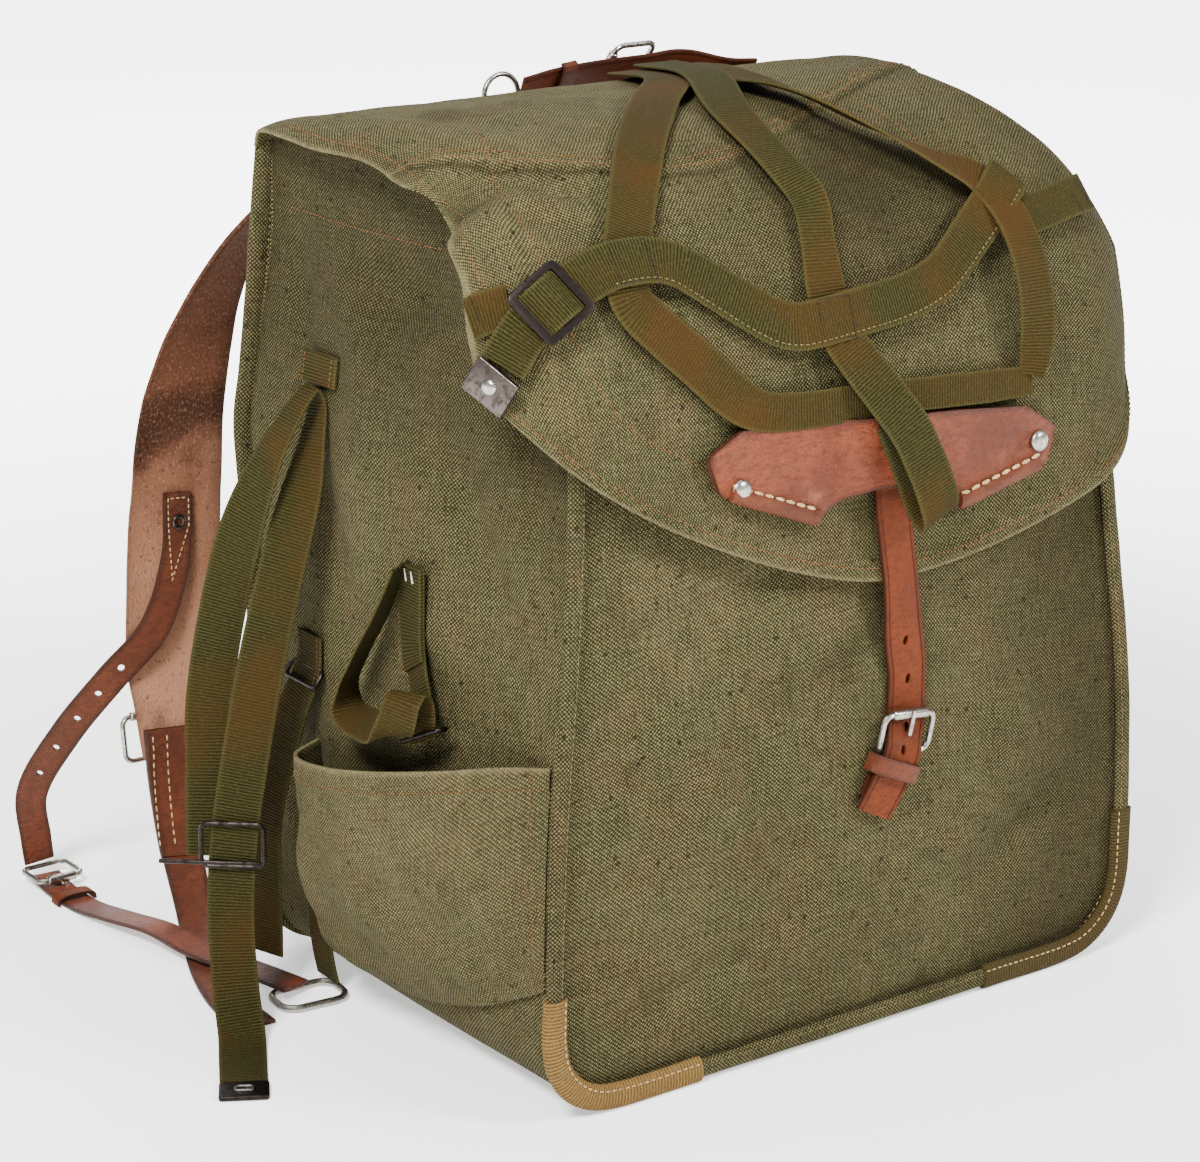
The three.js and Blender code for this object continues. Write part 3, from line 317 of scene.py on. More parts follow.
def metalFinish(name, look):
    f = Finish(name, Metallic=1.0)
    place = f.place()
    soilAndShade = f.ease(f.grain(place, 260, 4, 0.65), 0.44, 0.7)
    hair = f.grain(f.stretch(place, 300, 2400, 1300), 1, 2)
    body = f.mix(soilAndShade * look["soiled"], paint(look["base"]), paint(look["dull"]))
    rough = look["rough"] + soilAndShade * 0.22 + (hair - 0.5) * 0.12
    return f.dress(body, rough, hair * 0.4 + soilAndShade, 0.00012, 0.35)


def threadFinish(name, colour, dark):
    f = Finish(name, Roughness=0.85, Specular_IOR_Level=0.25)
    twist = f.grain(f.place(), 900, 2)
    return f.dress(f.mix(f.ease(twist, 0.35, 0.65), paint(dark), paint(colour)), None, twist, 0.0003, 0.4)


finishes = {
    "canvas": canvasFinish("olive_canvas", canvasLook),
    "web": webFinish("olive_webbing", webLook),
    "brownWeb": webFinish("brown_webbing", {**webLook, "stained": 0.34}),
    "creamTape": webFinish("cream_tape", {
        **webLook, "rib": 1.9, "base": (122, 96, 54), "dark": (78, 58, 28), "light": (140, 114, 75),
        "stain": (84, 60, 30), "stained": 0.05}),
    "brownTape": webFinish("brown_tape", {
        **webLook, "rib": 1.9, "base": (66, 57, 31), "dark": (38, 32, 15), "light": (88, 77, 45),
        "stain": (58, 44, 21), "stained": 0.05}),
    "patch": leatherFinish("russet_leather", leatherLook),
    "tan": leatherFinish("tan_leather", {
        **leatherLook, "base": (101, 44, 12), "deep": (69, 26, 6), "pale": (114, 60, 26), "edge": (34, 13, 5),
        "rough": 0.55, "gloss": 0.1}),
    "dark": leatherFinish("dark_leather", {
        **leatherLook, "base": (96, 48, 27), "deep": (62, 29, 16), "pale": (124, 74, 50), "edge": (34, 16, 9),
        "rough": 0.45, "gloss": 0.14}),
    "rough": roughFinish("rough_leather", roughLook),
    "nickel": metalFinish("worn_nickel", metalLook),
    "steel": metalFinish("dark_steel", {
        "base": (42, 36, 34), "dull": (19, 15, 13), "rough": 0.38, "soiled": 0.8}),
    "dull": metalFinish("dull_nickel", {
        "base": (78, 70, 66), "dull": (42, 34, 29), "rough": 0.3, "soiled": 0.8}),
    "rust": threadFinish("rust_thread", (104, 66, 31), (70, 43, 19)),
    "cream": threadFinish("cream_thread", (184, 158, 114), (136, 108, 72)),
    "black": threadFinish("black_thread", (34, 30, 18), (18, 16, 10)),
    "straw": threadFinish("straw_thread", (104, 92, 54), (70, 60, 34)),
}

floorFinish = Finish("pale_floor", Roughness=0.9, Emission_Strength=studio["floorGlow"])
floorPlace = floorFinish.place()
floorX, floorY = floorFinish.parts(floorPlace)
far = floorFinish.ease((floorX * floorX + floorY * floorY) ** 0.5, *studio["glowReach"])
glow = floorFinish.mix(far, studio["nearGlow"], studio["farGlow"])  # lit as a white backdrop all round
floorFinish.plug(floorFinish.shader.inputs["Emission Color"], glow)
floorTone = floorFinish.grain(floorPlace, 3, 2)
floorFinish.dress(floorFinish.mix(floorTone, paint(studio["floorShade"]), paint(studio["floorColour"])))
bpy.ops.mesh.primitive_plane_add(size=2 * studio["floorHalf"])
floor = bpy.context.object
floor.name = "studio_floor"
floor.data.materials.append(floorFinish.material)
print("finishes made:", len(finishes))


# Reading tables and curves

def clamp(value, low=0.0, high=1.0):
    return max(low, min(high, value))


def between(a, b, t):
    return a + (b - a) * t


def ease(low, high, value):
    t = clamp((value - low) / (high - low))
    return t * t * (3 - 2 * t)


def ripple(x, y, z, size):
    return noise.noise(Vector((x, y, z)) / size)


def rowBefore(rows, value):
    return max([k for k in range(len(rows) - 1) if rows[k][0] <= value], default=0)


def smoothRead(rows, column, value):  # a smooth curve through one column, led by the first
    i = rowBefore(rows, value)
    start, end = rows[i], rows[i + 1]
    before, after = rows[max(i - 1, 0)], rows[min(i + 2, len(rows) - 1)]
    span = end[0] - start[0]
    t = clamp((value - start[0]) / span)
    leave = (end[column] - before[column]) / (end[0] - before[0]) * span
    arrive = (after[column] - start[column]) / (after[0] - start[0]) * span
    return hermite(start[column], end[column], leave, arrive, t)


def straightRead(rows, column, value):
    i = rowBefore(rows, value)
    t = clamp((value - rows[i][0]) / (rows[i + 1][0] - rows[i][0]))
    return between(rows[i][column], rows[i + 1][column], t)


def hermite(a, b, leave, arrive, t):
    leaving = ((2 * t - 3) * t * t + 1) * a + ((t - 2) * t + 1) * t * leave
    return leaving + (3 - 2 * t) * t * t * b + (t - 1) * t * t * arrive


def curvePoint(points, share):  # the same centripetal curve that the solids follow
    last = len(points) - 1
    i = min(int(share * last), last - 1)
    t = share * last - i
    b, c = points[i], points[i + 1]
    a = points[i - 1] if i else b * 2 - c
    d = points[i + 2] if i + 2 <= last else c * 2 - b
    first, middle, final = ((q - p).length ** 0.5 for p, q in ((a, b), (b, c), (c, d)))
    middle = middle if middle > 0.0001 else 1.0
    first = first if first > 0.0001 else middle
    final = final if final > 0.0001 else middle
    leave = ((b - a) / first - (c - a) / (first + middle) + (c - b) / middle) * middle
    arrive = ((c - b) / middle - (d - b) / (middle + final) + (d - c) / final) * middle
    return hermite(b, c, leave, arrive, t)


def foldLift(folds, x, y):  # folds run between two points; each has a height and a half width
    lift = 0
    for x0, y0, x1, y1, high, wide in folds:
        dx, dy = x1 - x0, y1 - y0
        t = clamp(((x - x0) * dx + (y - y0) * dy) / (dx * dx + dy * dy))
        gap = math.hypot(x - x0 - t * dx, y - y0 - t * dy)
        lift += high * math.exp(-((gap / wide) ** 2)) * (0.3 + 0.7 * math.sin(math.pi * t))
    return lift


def near(x, y, spot):  # one in the middle of a spot, nothing well away from it
    middleX, middleY, wide, high = spot
    return math.exp(-(((x - middleX) / wide) ** 2) - ((y - middleY) / high) ** 2)


# Making pieces

bagMiddle = Vector((0, 0, 220))  # cloth faces away from here
xAxis = Vector((1, 0, 0))
yAxis = Vector((0, 1, 0))
zAxis = Vector((0, 0, 1))


def pick(piece):
    bpy.ops.object.select_all(action="DESELECT")
    piece.select_set(True)
    bpy.context.view_layer.objects.active = piece


def applyAll(piece):
    pick(piece)
    for modifier in list(piece.modifiers):
        bpy.ops.object.modifier_apply(modifier=modifier.name)


def editAll(change, **settings):  # one edit over the whole mesh of the active piece
    bpy.ops.object.mode_set(mode="EDIT")
    bpy.ops.mesh.select_all(action="SELECT")
    change(**settings)
    bpy.ops.object.mode_set(mode="OBJECT")


def thicken(piece, thick, offset):
    solid = piece.modifiers.new("wall", "SOLIDIFY")
    solid.thickness = thick * mm
    solid.offset = offset


def easeEdges(piece, width, segments=3, angle=30):
    eased = piece.modifiers.new("eased", "BEVEL")
    eased.width = width * mm
    eased.segments = segments
    eased.limit_method = "ANGLE"
    eased.angle_limit = math.radians(angle)


def newMesh(name, points, faces, cut=None, worn=None):
    mesh = bpy.data.meshes.new(name)
    mesh.from_pydata([(p.x * mm, p.y * mm, p.z * mm) for p in points], [], faces)
    if cut:
        layer = mesh.uv_layers.new(name="cut")
        flat = []
        for loop in mesh.loops:
            flat += cut[loop.vertex_index]
        layer.data.foreach_set("uv", flat)
    if worn:
        mesh.attributes.new("worn", "FLOAT", "POINT").data.foreach_set("value", worn)
    piece = bpy.data.objects.new(name, mesh)
    bpy.context.collection.objects.link(piece)
    return piece


def finishPiece(piece, finish, nodes=(), sharp=35):
    piece.data.materials.clear()
    piece.data.materials.append(finishes[finish])
    pick(piece)
    bpy.ops.object.shade_smooth_by_angle(angle=math.radians(sharp))
    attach(piece, "root")
    if nodes:
        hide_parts(*nodes)
    return piece


def clothPiece(name, surface, columns, rows, wall, wear=None):
    spots = [(i / columns, j / rows) for j in range(rows + 1) for i in range(columns + 1)]
    points = [surface(u, v) for u, v in spots]
    width = columns + 1
    middle = columns // 2
    cut = []  # metres over the flat cloth, for its weave
    for j in range(rows + 1):
        run = [0.0]
        for i in range(columns):
            run.append(run[-1] + (points[j * width + i + 1] - points[j * width + i]).length)
        for i in range(width):
            k = j * width + i
            rise = cut[k - width][1] + (points[k] - points[k - width]).length * mm if j else 0.0
            cut.append(((run[i] - run[middle]) * mm, rise))
    faces = []
    for j in range(rows):
        for i in range(columns):
            a = j * width + i
            faces.append((a, a + 1, a + width + 1, a + width))
    a, b, c, d = (points[k] for k in faces[len(faces) // 2 + middle])
    if (c - a).cross(d - b).dot(a - bagMiddle) < 0:
        faces = [face[::-1] for face in faces]
    worn = [wear(u, v) for u, v in spots] if wear else None
    piece = newMesh(name, points, faces, cut, worn)
    thicken(piece, wall, -1)
    easeEdges(piece, min(wall * 0.35, 0.9), 2, 55)
    applyAll(piece)
    for vertex in piece.data.vertices:
        vertex.co.z = max(vertex.co.z, 0)  # nothing hangs below the base
    return piece


def mirrored(upper, lower):  # a strap's section from its right half, above the edge and below it
    ring = upper + [(-w, t, rub) for w, t, rub in upper[::-1] if w]
    return ring + [(-w, t, rub) for w, t, rub in lower if w] + lower[::-1]


sections = {  # shares of a strap's width and thickness, and how rubbed each point is
    "web": mirrored(
        [(0.5, 0, 1), (0.494, 0.3, 1), (0.475, 0.46, 0.8), (0.4, 0.5, 0), (0.2, 0.5, 0), (0, 0.5, 0)],
        [(0.494, -0.3, 1), (0.475, -0.46, 0.8), (0.4, -0.5, 0), (0.2, -0.5, 0), (0, -0.5, 0)]),
    "leather": mirrored(
        [(0.5, 0, 1), (0.497, 0.32, 1), (0.48, 0.47, 0.8), (0.44, 0.5, 0.3), (0.405, 0.48, 0.5),
         (0.39, 0.34, 0.9), (0.375, 0.48, 0.4), (0.33, 0.5, 0), (0.16, 0.52, 0), (0, 0.53, 0)],
        [(0.495, -0.36, 1), (0.47, -0.5, 0.8), (0.3, -0.5, 0), (0, -0.5, 0)]),
    "plain": mirrored(
        [(0.5, 0, 1), (0.494, 0.34, 1), (0.47, 0.5, 0.6), (0.3, 0.5, 0), (0.1, 0.5, 0)],
        [(0.494, -0.34, 1), (0.47, -0.5, 0.6), (0.3, -0.5, 0), (0.1, -0.5, 0)]),
    "welt": [(-math.cos(k * math.pi / 9) / 2, -math.sin(k * math.pi / 9) / 2, -0.12) for k in range(18)],
}


def strapFrames(stations, pitch=3.0):  # middle, width direction, face direction and width all along a strap
    middles = [at for at, side, width in stations]
    sides = [side for at, side, width in stations]
    last = len(stations) - 1
    widths = [(k / last, station[2]) for k, station in enumerate(stations)]
    shares = [0.0]
    for k in range(last):
        count = max(2, math.ceil((middles[k + 1] - middles[k]).length / pitch))
        shares += [(k + (n + 1) / count) / last for n in range(count)]
    frames = []
    for share in shares:
        share = min(share, 1.0)
        heading = curvePoint(middles, min(share + 0.0001, 1)) - curvePoint(middles, max(share - 0.0001, 0))
        heading.normalize()
        side = curvePoint(sides, share)
        side = (side - heading * side.dot(heading)).normalized()
        frames.append((curvePoint(middles, share), side, heading.cross(side), smoothRead(widths, 1, share)))
    return frames


def strapPiece(name, frames, thick, section, wave=0.0):
    shape = sections[section]
    points, cut, worn, faces = [], [], [], []
    run = 0.0
    width = frames[0][3]
    girth = [0.0]  # the way round a welt, for its weave
    for (w, t, rub), (nextW, nextT, nextRub) in zip(shape, shape[1:]):
        girth.append(girth[-1] + math.hypot((nextW - w) * width, (nextT - t) * thick))
    for k, (at, side, face, width) in enumerate(frames):
        if k:
            run += (at - frames[k - 1][0]).length * mm
        for n, (w, t, rub) in enumerate(shape):
            sway = wave * ripple(at.x + w * 30, at.y, at.z, 26) if wave else 0
            points.append(at + side * (w * width) + face * (t * thick + sway))
            cut.append(((girth[n] if section == "welt" else w * width) * mm, run))
            worn.append(rub)
    count = len(shape)
    for k in range(len(frames) - 1):
        for n in range(count):
            a, b = k * count + n, k * count + (n + 1) % count
            faces.append((a, b, b + count, a + count))
    faces.append(tuple(range(count))[::-1])
    faces.append(tuple(range((len(frames) - 1) * count, len(frames) * count)))
    piece = newMesh(name, points, faces, cut, worn)
    pick(piece)
    editAll(bpy.ops.mesh.normals_make_consistent, inside=False)
    return piece


def addStrap(name, frames, thick, section, finish, nodes=(), wave=0.0):
    return finishPiece(strapPiece(name, frames, thick, section, wave), finish, nodes)


def setInPlace(piece, at, right, up):  # a piece drawn flat is stood at a point
    x = right.normalized()
    z = x.cross(up).normalized()
    matrix = Matrix((x, z.cross(x), z)).transposed().to_4x4()
    matrix.translation = at * mm
    piece.data.transform(matrix)
    piece.data.update()


def gather(pieces, name):
    bpy.ops.object.select_all(action="DESELECT")
    for piece in pieces:
        piece.select_set(True)
    bpy.context.view_layer.objects.active = pieces[0]
    if len(pieces) > 1:
        bpy.ops.object.join()
    pieces[0].name = name
    pieces[0].data.name = name
    return pieces[0]


def fitMetal(name, parts, at, right, up, finish, nodes=()):
    piece = gather(parts, name)
    setInPlace(piece, at, right, up)
    return finishPiece(piece, finish, nodes)


def cutAway(piece, cutters):
    cutter = gather(cutters, "cutter")
    cutting = piece.modifiers.new("openings", "BOOLEAN")
    cutting.object = cutter
    applyAll(piece)
    bpy.data.objects.remove(cutter)


def flatOutline(width, height, corner, segments):  # a plane with round corners
    bpy.ops.mesh.primitive_plane_add(size=1)
    piece = bpy.context.object
    piece.scale = (width * mm, height * mm, 1)
    bpy.ops.object.transform_apply(location=False, rotation=False, scale=True)
    editAll(bpy.ops.mesh.bevel, offset=corner * mm, segments=segments, affect="VERTICES")
    return piece


def bentWire(width, height, corner, wire):  # a closed loop of round wire, drawn flat
    flatOutline(width, height, corner, 7)
    editAll(bpy.ops.mesh.delete, type="ONLY_FACE")
    bpy.ops.object.convert(target="CURVE")
    piece = bpy.context.object
    piece.data.bevel_depth = wire / 2 * mm
    piece.data.bevel_resolution = 3
    bpy.ops.object.convert(target="MESH")
    return bpy.context.object


def rod(start, end, diameter, taper=1.0):  # a round bar with eased ends
    axis = Vector(end) - Vector(start)
    bpy.ops.mesh.primitive_cylinder_add(vertices=16, radius=diameter / 2 * mm, depth=axis.length * mm)
    piece = bpy.context.object
    editAll(bpy.ops.mesh.bisect, plane_co=(0, 0, 0), plane_no=(0, 0, 1))
    for vertex in piece.data.vertices:
        if vertex.co.z > axis.length * mm * 0.4:
            vertex.co.x *= taper
            vertex.co.y *= taper
    easeEdges(piece, diameter * taper * 0.22)
    applyAll(piece)
    turned = axis.to_track_quat("Z", "Y").to_matrix().to_4x4()
    turned.translation = (Vector(start) + Vector(end)) / 2 * mm
    piece.data.transform(turned)
    return piece


def dome(diameter, high, base=0.0):  # a rivet head over the XY plane
    bpy.ops.mesh.primitive_uv_sphere_add(segments=20, ring_count=12, radius=diameter / 2 * mm)
    piece = bpy.context.object
    editAll(bpy.ops.mesh.bisect, plane_co=(0, 0, -0.0002), plane_no=zAxis, clear_inner=True, use_fill=True)
    flat = Matrix.Diagonal((1, 1, high / (diameter / 2), 1))
    flat.translation = zAxis * base * mm
    piece.data.transform(flat)
    return piece


def ringOf(diameter, wire, segments, around):
    bpy.ops.mesh.primitive_torus_add(
        major_radius=diameter / 2 * mm, minor_radius=wire / 2 * mm, major_segments=segments,
        minor_segments=around)
    return bpy.context.object


def plate(width, height, thick, corner, easing):  # a thin plate with round corners, drawn flat
    piece = flatOutline(width, height, corner, 5)
    thicken(piece, thick, 0)
    easeEdges(piece, easing)
    applyAll(piece)
    return piece


def rollerBuckle(width, height):  # frame, roller and prong
    top = height / 2
    reach = width / 2 - 5
    return [
        bentWire(width, height, 5, 3.2),
        rod((-reach, top, 0), (reach, top, 0), 5.4),
        rod((0, top - 11, 2.6), (0, top + 3, 3.0), 2.6, 0.7),
    ]


def punchHoles(piece, spots, long, wide):  # spots: middle, length direction and face direction of each hole
    cutters = []
    for at, heading, face in spots:
        bpy.ops.mesh.primitive_cylinder_add(vertices=20, radius=0.5 * mm, depth=12 * mm)
        cutter = bpy.context.object
        cutter.data.transform(Matrix.Diagonal((wide, long, 1, 1)))
        setInPlace(cutter, at, heading.cross(face), heading)
        cutters.append(cutter)
    cutAway(piece, cutters)


bpy.ops.mesh.primitive_uv_sphere_add(segments=6, ring_count=5, radius=0.5)
spindle = bpy.context.object  # one stitch, copied along every seam
spindlePoints = [v.co.copy() for v in spindle.data.vertices]
spindleFaces = [tuple(p.vertices) for p in spindle.data.polygons]
bpy.data.objects.remove(spindle)


# a run is points with their normals, then the pitch, length and thickness of its stitches
def sew(name, runs, thread):
    points, faces = [], []
    for path, pitch, long, thick in runs:
        wait = pitch / 2
        for (a, normalA), (b, normalB) in zip(path, path[1:]):
            span = (b - a).length
            while span and wait < span:
                t = wait / span
                normal = normalA.lerp(normalB, t).normalized()
                heading = (b - a) / span
                aside = normal.cross(heading)
                at = a.lerp(b, t)
                base = len(points)
                for p in spindlePoints:
                    flat = at + heading * (p.x * long) + aside * (p.y * thick)
                    points.append(flat + normal * (p.z * thick * 0.8))
                faces += [tuple(base + k for k in face) for face in spindleFaces]
                wait += pitch
            wait -= span
    return finishPiece(newMesh(name, points, faces), thread, sharp=80)


def alongEdge(frames, aside, lift):  # a sewing line beside a strap's middle
    return [(at + side * aside + face * lift, face) for at, side, face, width in frames]


def facing(frames, away, aside, lift, first, last):  # a sewing line on the face that looks one way
    run = frames[int(first * (len(frames) - 1)):int(last * (len(frames) - 1)) + 1]
    path = []
    for at, side, face, width in run:
        outward = face if face.dot(away) > 0 else -face
        path.append((at + side * aside + outward * lift, outward))
    return path


# The bag's walls

bag = {
    "corner": 40, "cornerShare": 0.16, "wall": 2, "edge": 2.9, "waves": 3.0, "rimSide": 460,
    "rimBack": 456, "rimFront": 398, "baseY": (-124.6, 125.6), "baseGap": 0.9,
    "turnShare": 0.045, "frontTurn": 4.4, "backTurn": 3.6, "sideTurns": (7, 6),  # edges turned into the welts
    # height, half widths and seams at front and back, then the swell of the front, sides and back
    "shape": [
        (0, 188, 193, -127, 128, 1, 0, 1), (60, 189, 195, -129, 129, 8, 7, 4),
        (150, 186, 197, -129, 129, 12, 10, 6), (240, 176, 198, -125, 128, 12, 11, 7),
        (310, 169, 201, -120, 129, 10, 10, 7), (360, 167, 194, -117, 126, 7, 8, 5),
        (410, 166, 188, -114, 122, 5, 6, 3), (450, 166, 187, -112, 121, 4, 5, 2),
    ],
    # folds of each wall: from and to, height and half width
    "frontFolds": [
        (-150, 40, -60, 70, -5, 11), (-130, 210, -60, 120, 5, 14), (-90, 190, -30, 90, -6, 11),
        (60, 60, 150, 110, -6, 12), (70, 190, 150, 120, 5, 14), (20, 120, 120, 60, 4.5, 11),
        (-120, 250, -20, 270, -4, 10),
    ],
    "sideFolds": [
        (36, 392, -34, 410, -8, 15), (98, 402, 80, 336, -7, 10), (60, 408, 22, 350, 6, 14),
        (-90, 240, -30, 330, -6, 13), (-60, 220, 20, 260, 5, 14), (40, 220, 80, 330, -5, 13),
        (-100, 330, 0, 370, 4.5, 14), (10, 290, 60, 400, 4, 15), (-80, 400, 60, 384, -4, 11),
        (80, 60, 112, 150, -4, 12), (70, 180, 116, 230, 4, 11), (-110, 290, -70, 390, -4, 11),
    ],
    "backFolds": [
        (-140, 120, 120, 150, -3, 18), (-100, 260, 140, 230, 3, 20), (-120, 60, 60, 40, -2.5, 14),
    ],
    # places that lie flat, with their reach both ways: under the closure, and tabs sewn to the sides
    "held": (15, 168, 42, 55),
    "sewn": [(64, 348, 26, 26), (-22, 256, 22, 22), (72, 198, 24, 24), (77, 30, 26, 26)],
}
frontHalf, backHalf, frontY, backY, frontOut, sideOut, backOut = range(1, 8)


def bagAt(column, z):
    return smoothRead(bag["shape"], column, z)


def cornerInset(z):
    rise = max(bag["corner"] - z, 0)
    return bag["corner"] - math.sqrt(max(bag["corner"] ** 2 - rise ** 2, 0))


def wallHeight(v, top):  # the lowest share of a wall goes round the bag's lower corner
    if v < bag["cornerShare"]:
        return bag["corner"] * (1 - math.cos(v / bag["cornerShare"] * math.pi / 2))
    return between(bag["corner"], top, (v - bag["cornerShare"]) / (1 - bag["cornerShare"]))


def onFront(x, z, lift):
    w = x / bagAt(frontHalf, z)
    return Vector((x, bagAt(frontY, z) - bagAt(frontOut, z) * (1 - w * w) - lift, z))


def onBack(x, z, lift):
    w = x / bagAt(backHalf, z)
    return Vector((x, bagAt(backY, z) + bagAt(backOut, z) * (1 - w * w) + lift, z))


def seamEase(share, reach=0.1):  # no folds where a wall is sewn
    return ease(0, reach, share) * ease(0, reach, 1 - share)


def frontCloth(u, v):
    z = wallHeight(v, bag["rimFront"])
    w = 2 * u - 1
    x = w * (bagAt(frontHalf, z) - cornerInset(z))
    lift = foldLift(bag["frontFolds"], x, z) + bag["waves"] * (ripple(x, 0, z, 60) - 0.2)
    lift += 1.5 * ripple(x, 5, z, 24)
    calm = seamEase(u) * (1 - 0.85 * near(x, z, bag["held"])) * ease(0, 45, z)
    y = bagAt(frontY, z) - bagAt(frontOut, z) * (1 - w * w) - lift * calm
    return Vector((x, y - bag["frontTurn"] * ease(1 - bag["turnShare"], 1, abs(w)), z))


def backCloth(u, v):
    z = wallHeight(v, bag["rimBack"])
    w = 2 * u - 1
    x = w * (bagAt(backHalf, z) - cornerInset(z))
    lift = foldLift(bag["backFolds"], x, z) + bag["waves"] * (ripple(x, 40, z, 70) - 0.3)
    calm = seamEase(u) * ease(0, 45, z) * (1 - ease(350, 380, z))
    y = bagAt(backY, z) + bagAt(backOut, z) * (1 - w * w) + lift * calm
    return Vector((x, y + bag["backTurn"] * ease(1 - bag["turnShare"], 1, abs(w)), z))


def sidePoint(sign, share, z):
    y = between(bagAt(frontY, z) + bag["edge"], bagAt(backY, z) - bag["edge"], share)
    half = between(bagAt(frontHalf, z), bagAt(backHalf, z), share) - cornerInset(z)
    return Vector((sign * (half + bagAt(sideOut, z) * 4 * share * (1 - share)), y, z))


def sideCloth(sign, share, z, lift=0.0):
    point = sidePoint(sign, share, z)
    y = point.y
    swell = foldLift(bag["sideFolds"], y, z) + bag["waves"] * (ripple(sign * 90, y, z, 55) - 0.4)
    swell += 1.6 * ripple(sign * 30, y, z, 22) - 0.6
    calm = seamEase(share) * ease(0, 45, z)
    for flat in bag["sewn"]:
        calm *= 1 - 0.95 * near(y, z, flat)
    point.x += sign * (swell * calm + lift)
    toFront, toBack = bag["sideTurns"]
    point.y += toBack * ease(0.95, 1, share) - toFront * ease(0.95, 1, 1 - share)
    return point


def sideWall(sign):
    def surface(u, v):
        top = bag["rimSide"] - (bag["rimSide"] - bag["rimFront"]) * (1 - u) ** 4
        return sideCloth(sign, u, wallHeight(v, top))
    return surface


def baseCloth(u, v):
    half = between(bag["shape"][0][frontHalf], bag["shape"][0][backHalf], v) - bag["corner"] - bag["baseGap"]
    lift = 1.4 * seamEase(u, 0.12) * seamEase(v) * (1 + ripple(u * 300, v * 240, 7, 60))
    return Vector(((2 * u - 1) * half, between(*bag["baseY"], v), lift))


# painted shade: darker towards the right side of the front and along its top under the flap
def frontShade(u, v):
    return -0.5 * ease(0.62, 0.95, u) - 0.25 * ease(0.8, 1, v)


# painted shade: darker towards the top of each side, under the flap
def sideShade(u, v):
    return -0.5 * ease(0.6, 0.84, v)


sides = (("left", -1), ("right", 1))
frontPiece = clothPiece("front_cloth", frontCloth, 78, 84, bag["wall"], frontShade)
finishPiece(frontPiece, "canvas", ["front_panel"])
backPiece = clothPiece("back_cloth", backCloth, 76, 90, bag["wall"])
finishPiece(backPiece, "canvas", ["back_panel"])
for label, sign in sides:
    sidePiece = clothPiece("side_cloth_" + label, sideWall(sign), 56, 92, bag["wall"], sideShade)
    finishPiece(sidePiece, "canvas", ["side_panel_" + label])
basePiece = clothPiece("base_cloth", baseCloth, 40, 30, bag["wall"])
finishPiece(basePiece, "canvas", ["base_panel"])
print("walls made")

# Welts along the seams of the front and back walls, and the taped corners

welt = {
    "width": 10, "thick": 5.2, "out": 1.5, "stand": 5.4, "top": 368,
    "heights": (340, 310, 280, 230, 170, 110, 70),
}
backWelt = {"width": 13, "thick": 7, "out": 1.5, "stand": 4.4, "top": 457}
tape = {
    "width": 14, "thick": 8,
    # where each ends along the base and up the side, its finish and slot
    "left": (-98, 72, "creamTape", "tape_cream"), "right": (90, 84, "brownTape", "tape_brown"),
}


def weltStations(half, seam, swell, out, make):
    corner = bag["corner"] - 2
    low = tape["width"] / 2 + 0.5

    def place(x, z, outward):
        bulge = bagAt(swell, z) * max(1 - (x / bagAt(half, z)) ** 2, 0)
        return Vector((x, bagAt(seam, z) + out * (make["stand"] + bulge), z)), outward, make["width"]

    heights = (make["top"], *welt["heights"])
    right = [place(bagAt(half, z) + make["out"], z, xAxis) for z in heights]
    edge = bagAt(half, bag["corner"]) + make["out"] - corner
    for k in range(5):
        angle = k / 4 * math.pi / 2
        x, z = edge + corner * math.cos(angle), low + corner * (1 - math.sin(angle))
        right.append(place(x, z, Vector((math.cos(angle), 0, -math.sin(angle)))))
    right += [place(edge * share, low, -zAxis) for share in (0.66, 0.33)]
    flip = Vector((-1, 1, 1))
    return [(at * flip, side * flip, width) for at, side, width in right] + right[::-1]


frontFrames = strapFrames(weltStations(frontHalf, frontY, frontOut, -1, welt))
backFrames = strapFrames(weltStations(backHalf, backY, backOut, 1, backWelt))
addStrap("front_piping", frontFrames, welt["thick"], "welt", "canvas", ["front_welt"], 0.5)
addStrap("back_piping", backFrames, backWelt["thick"], "welt", "canvas", ["back_welt"], 0.6)


def tapedCorner(label, sign):
    end, top, finish, slot = tape[label]
    run = []
    for at, side, face, width in frontFrames:
        if (at.x - end) * sign > 0 and at.z < top:
            run.append((at, side, face, tape["width"]))
    name = label + "_corner_tape"
    addStrap(name, run, tape["thick"], "welt", finish, ["corner_binding_" + label], 0.3)
    return run


tapeFrames = [tapedCorner(*side) for side in sides]
print("welts and corner tapes made")

# The flap and what lies on it

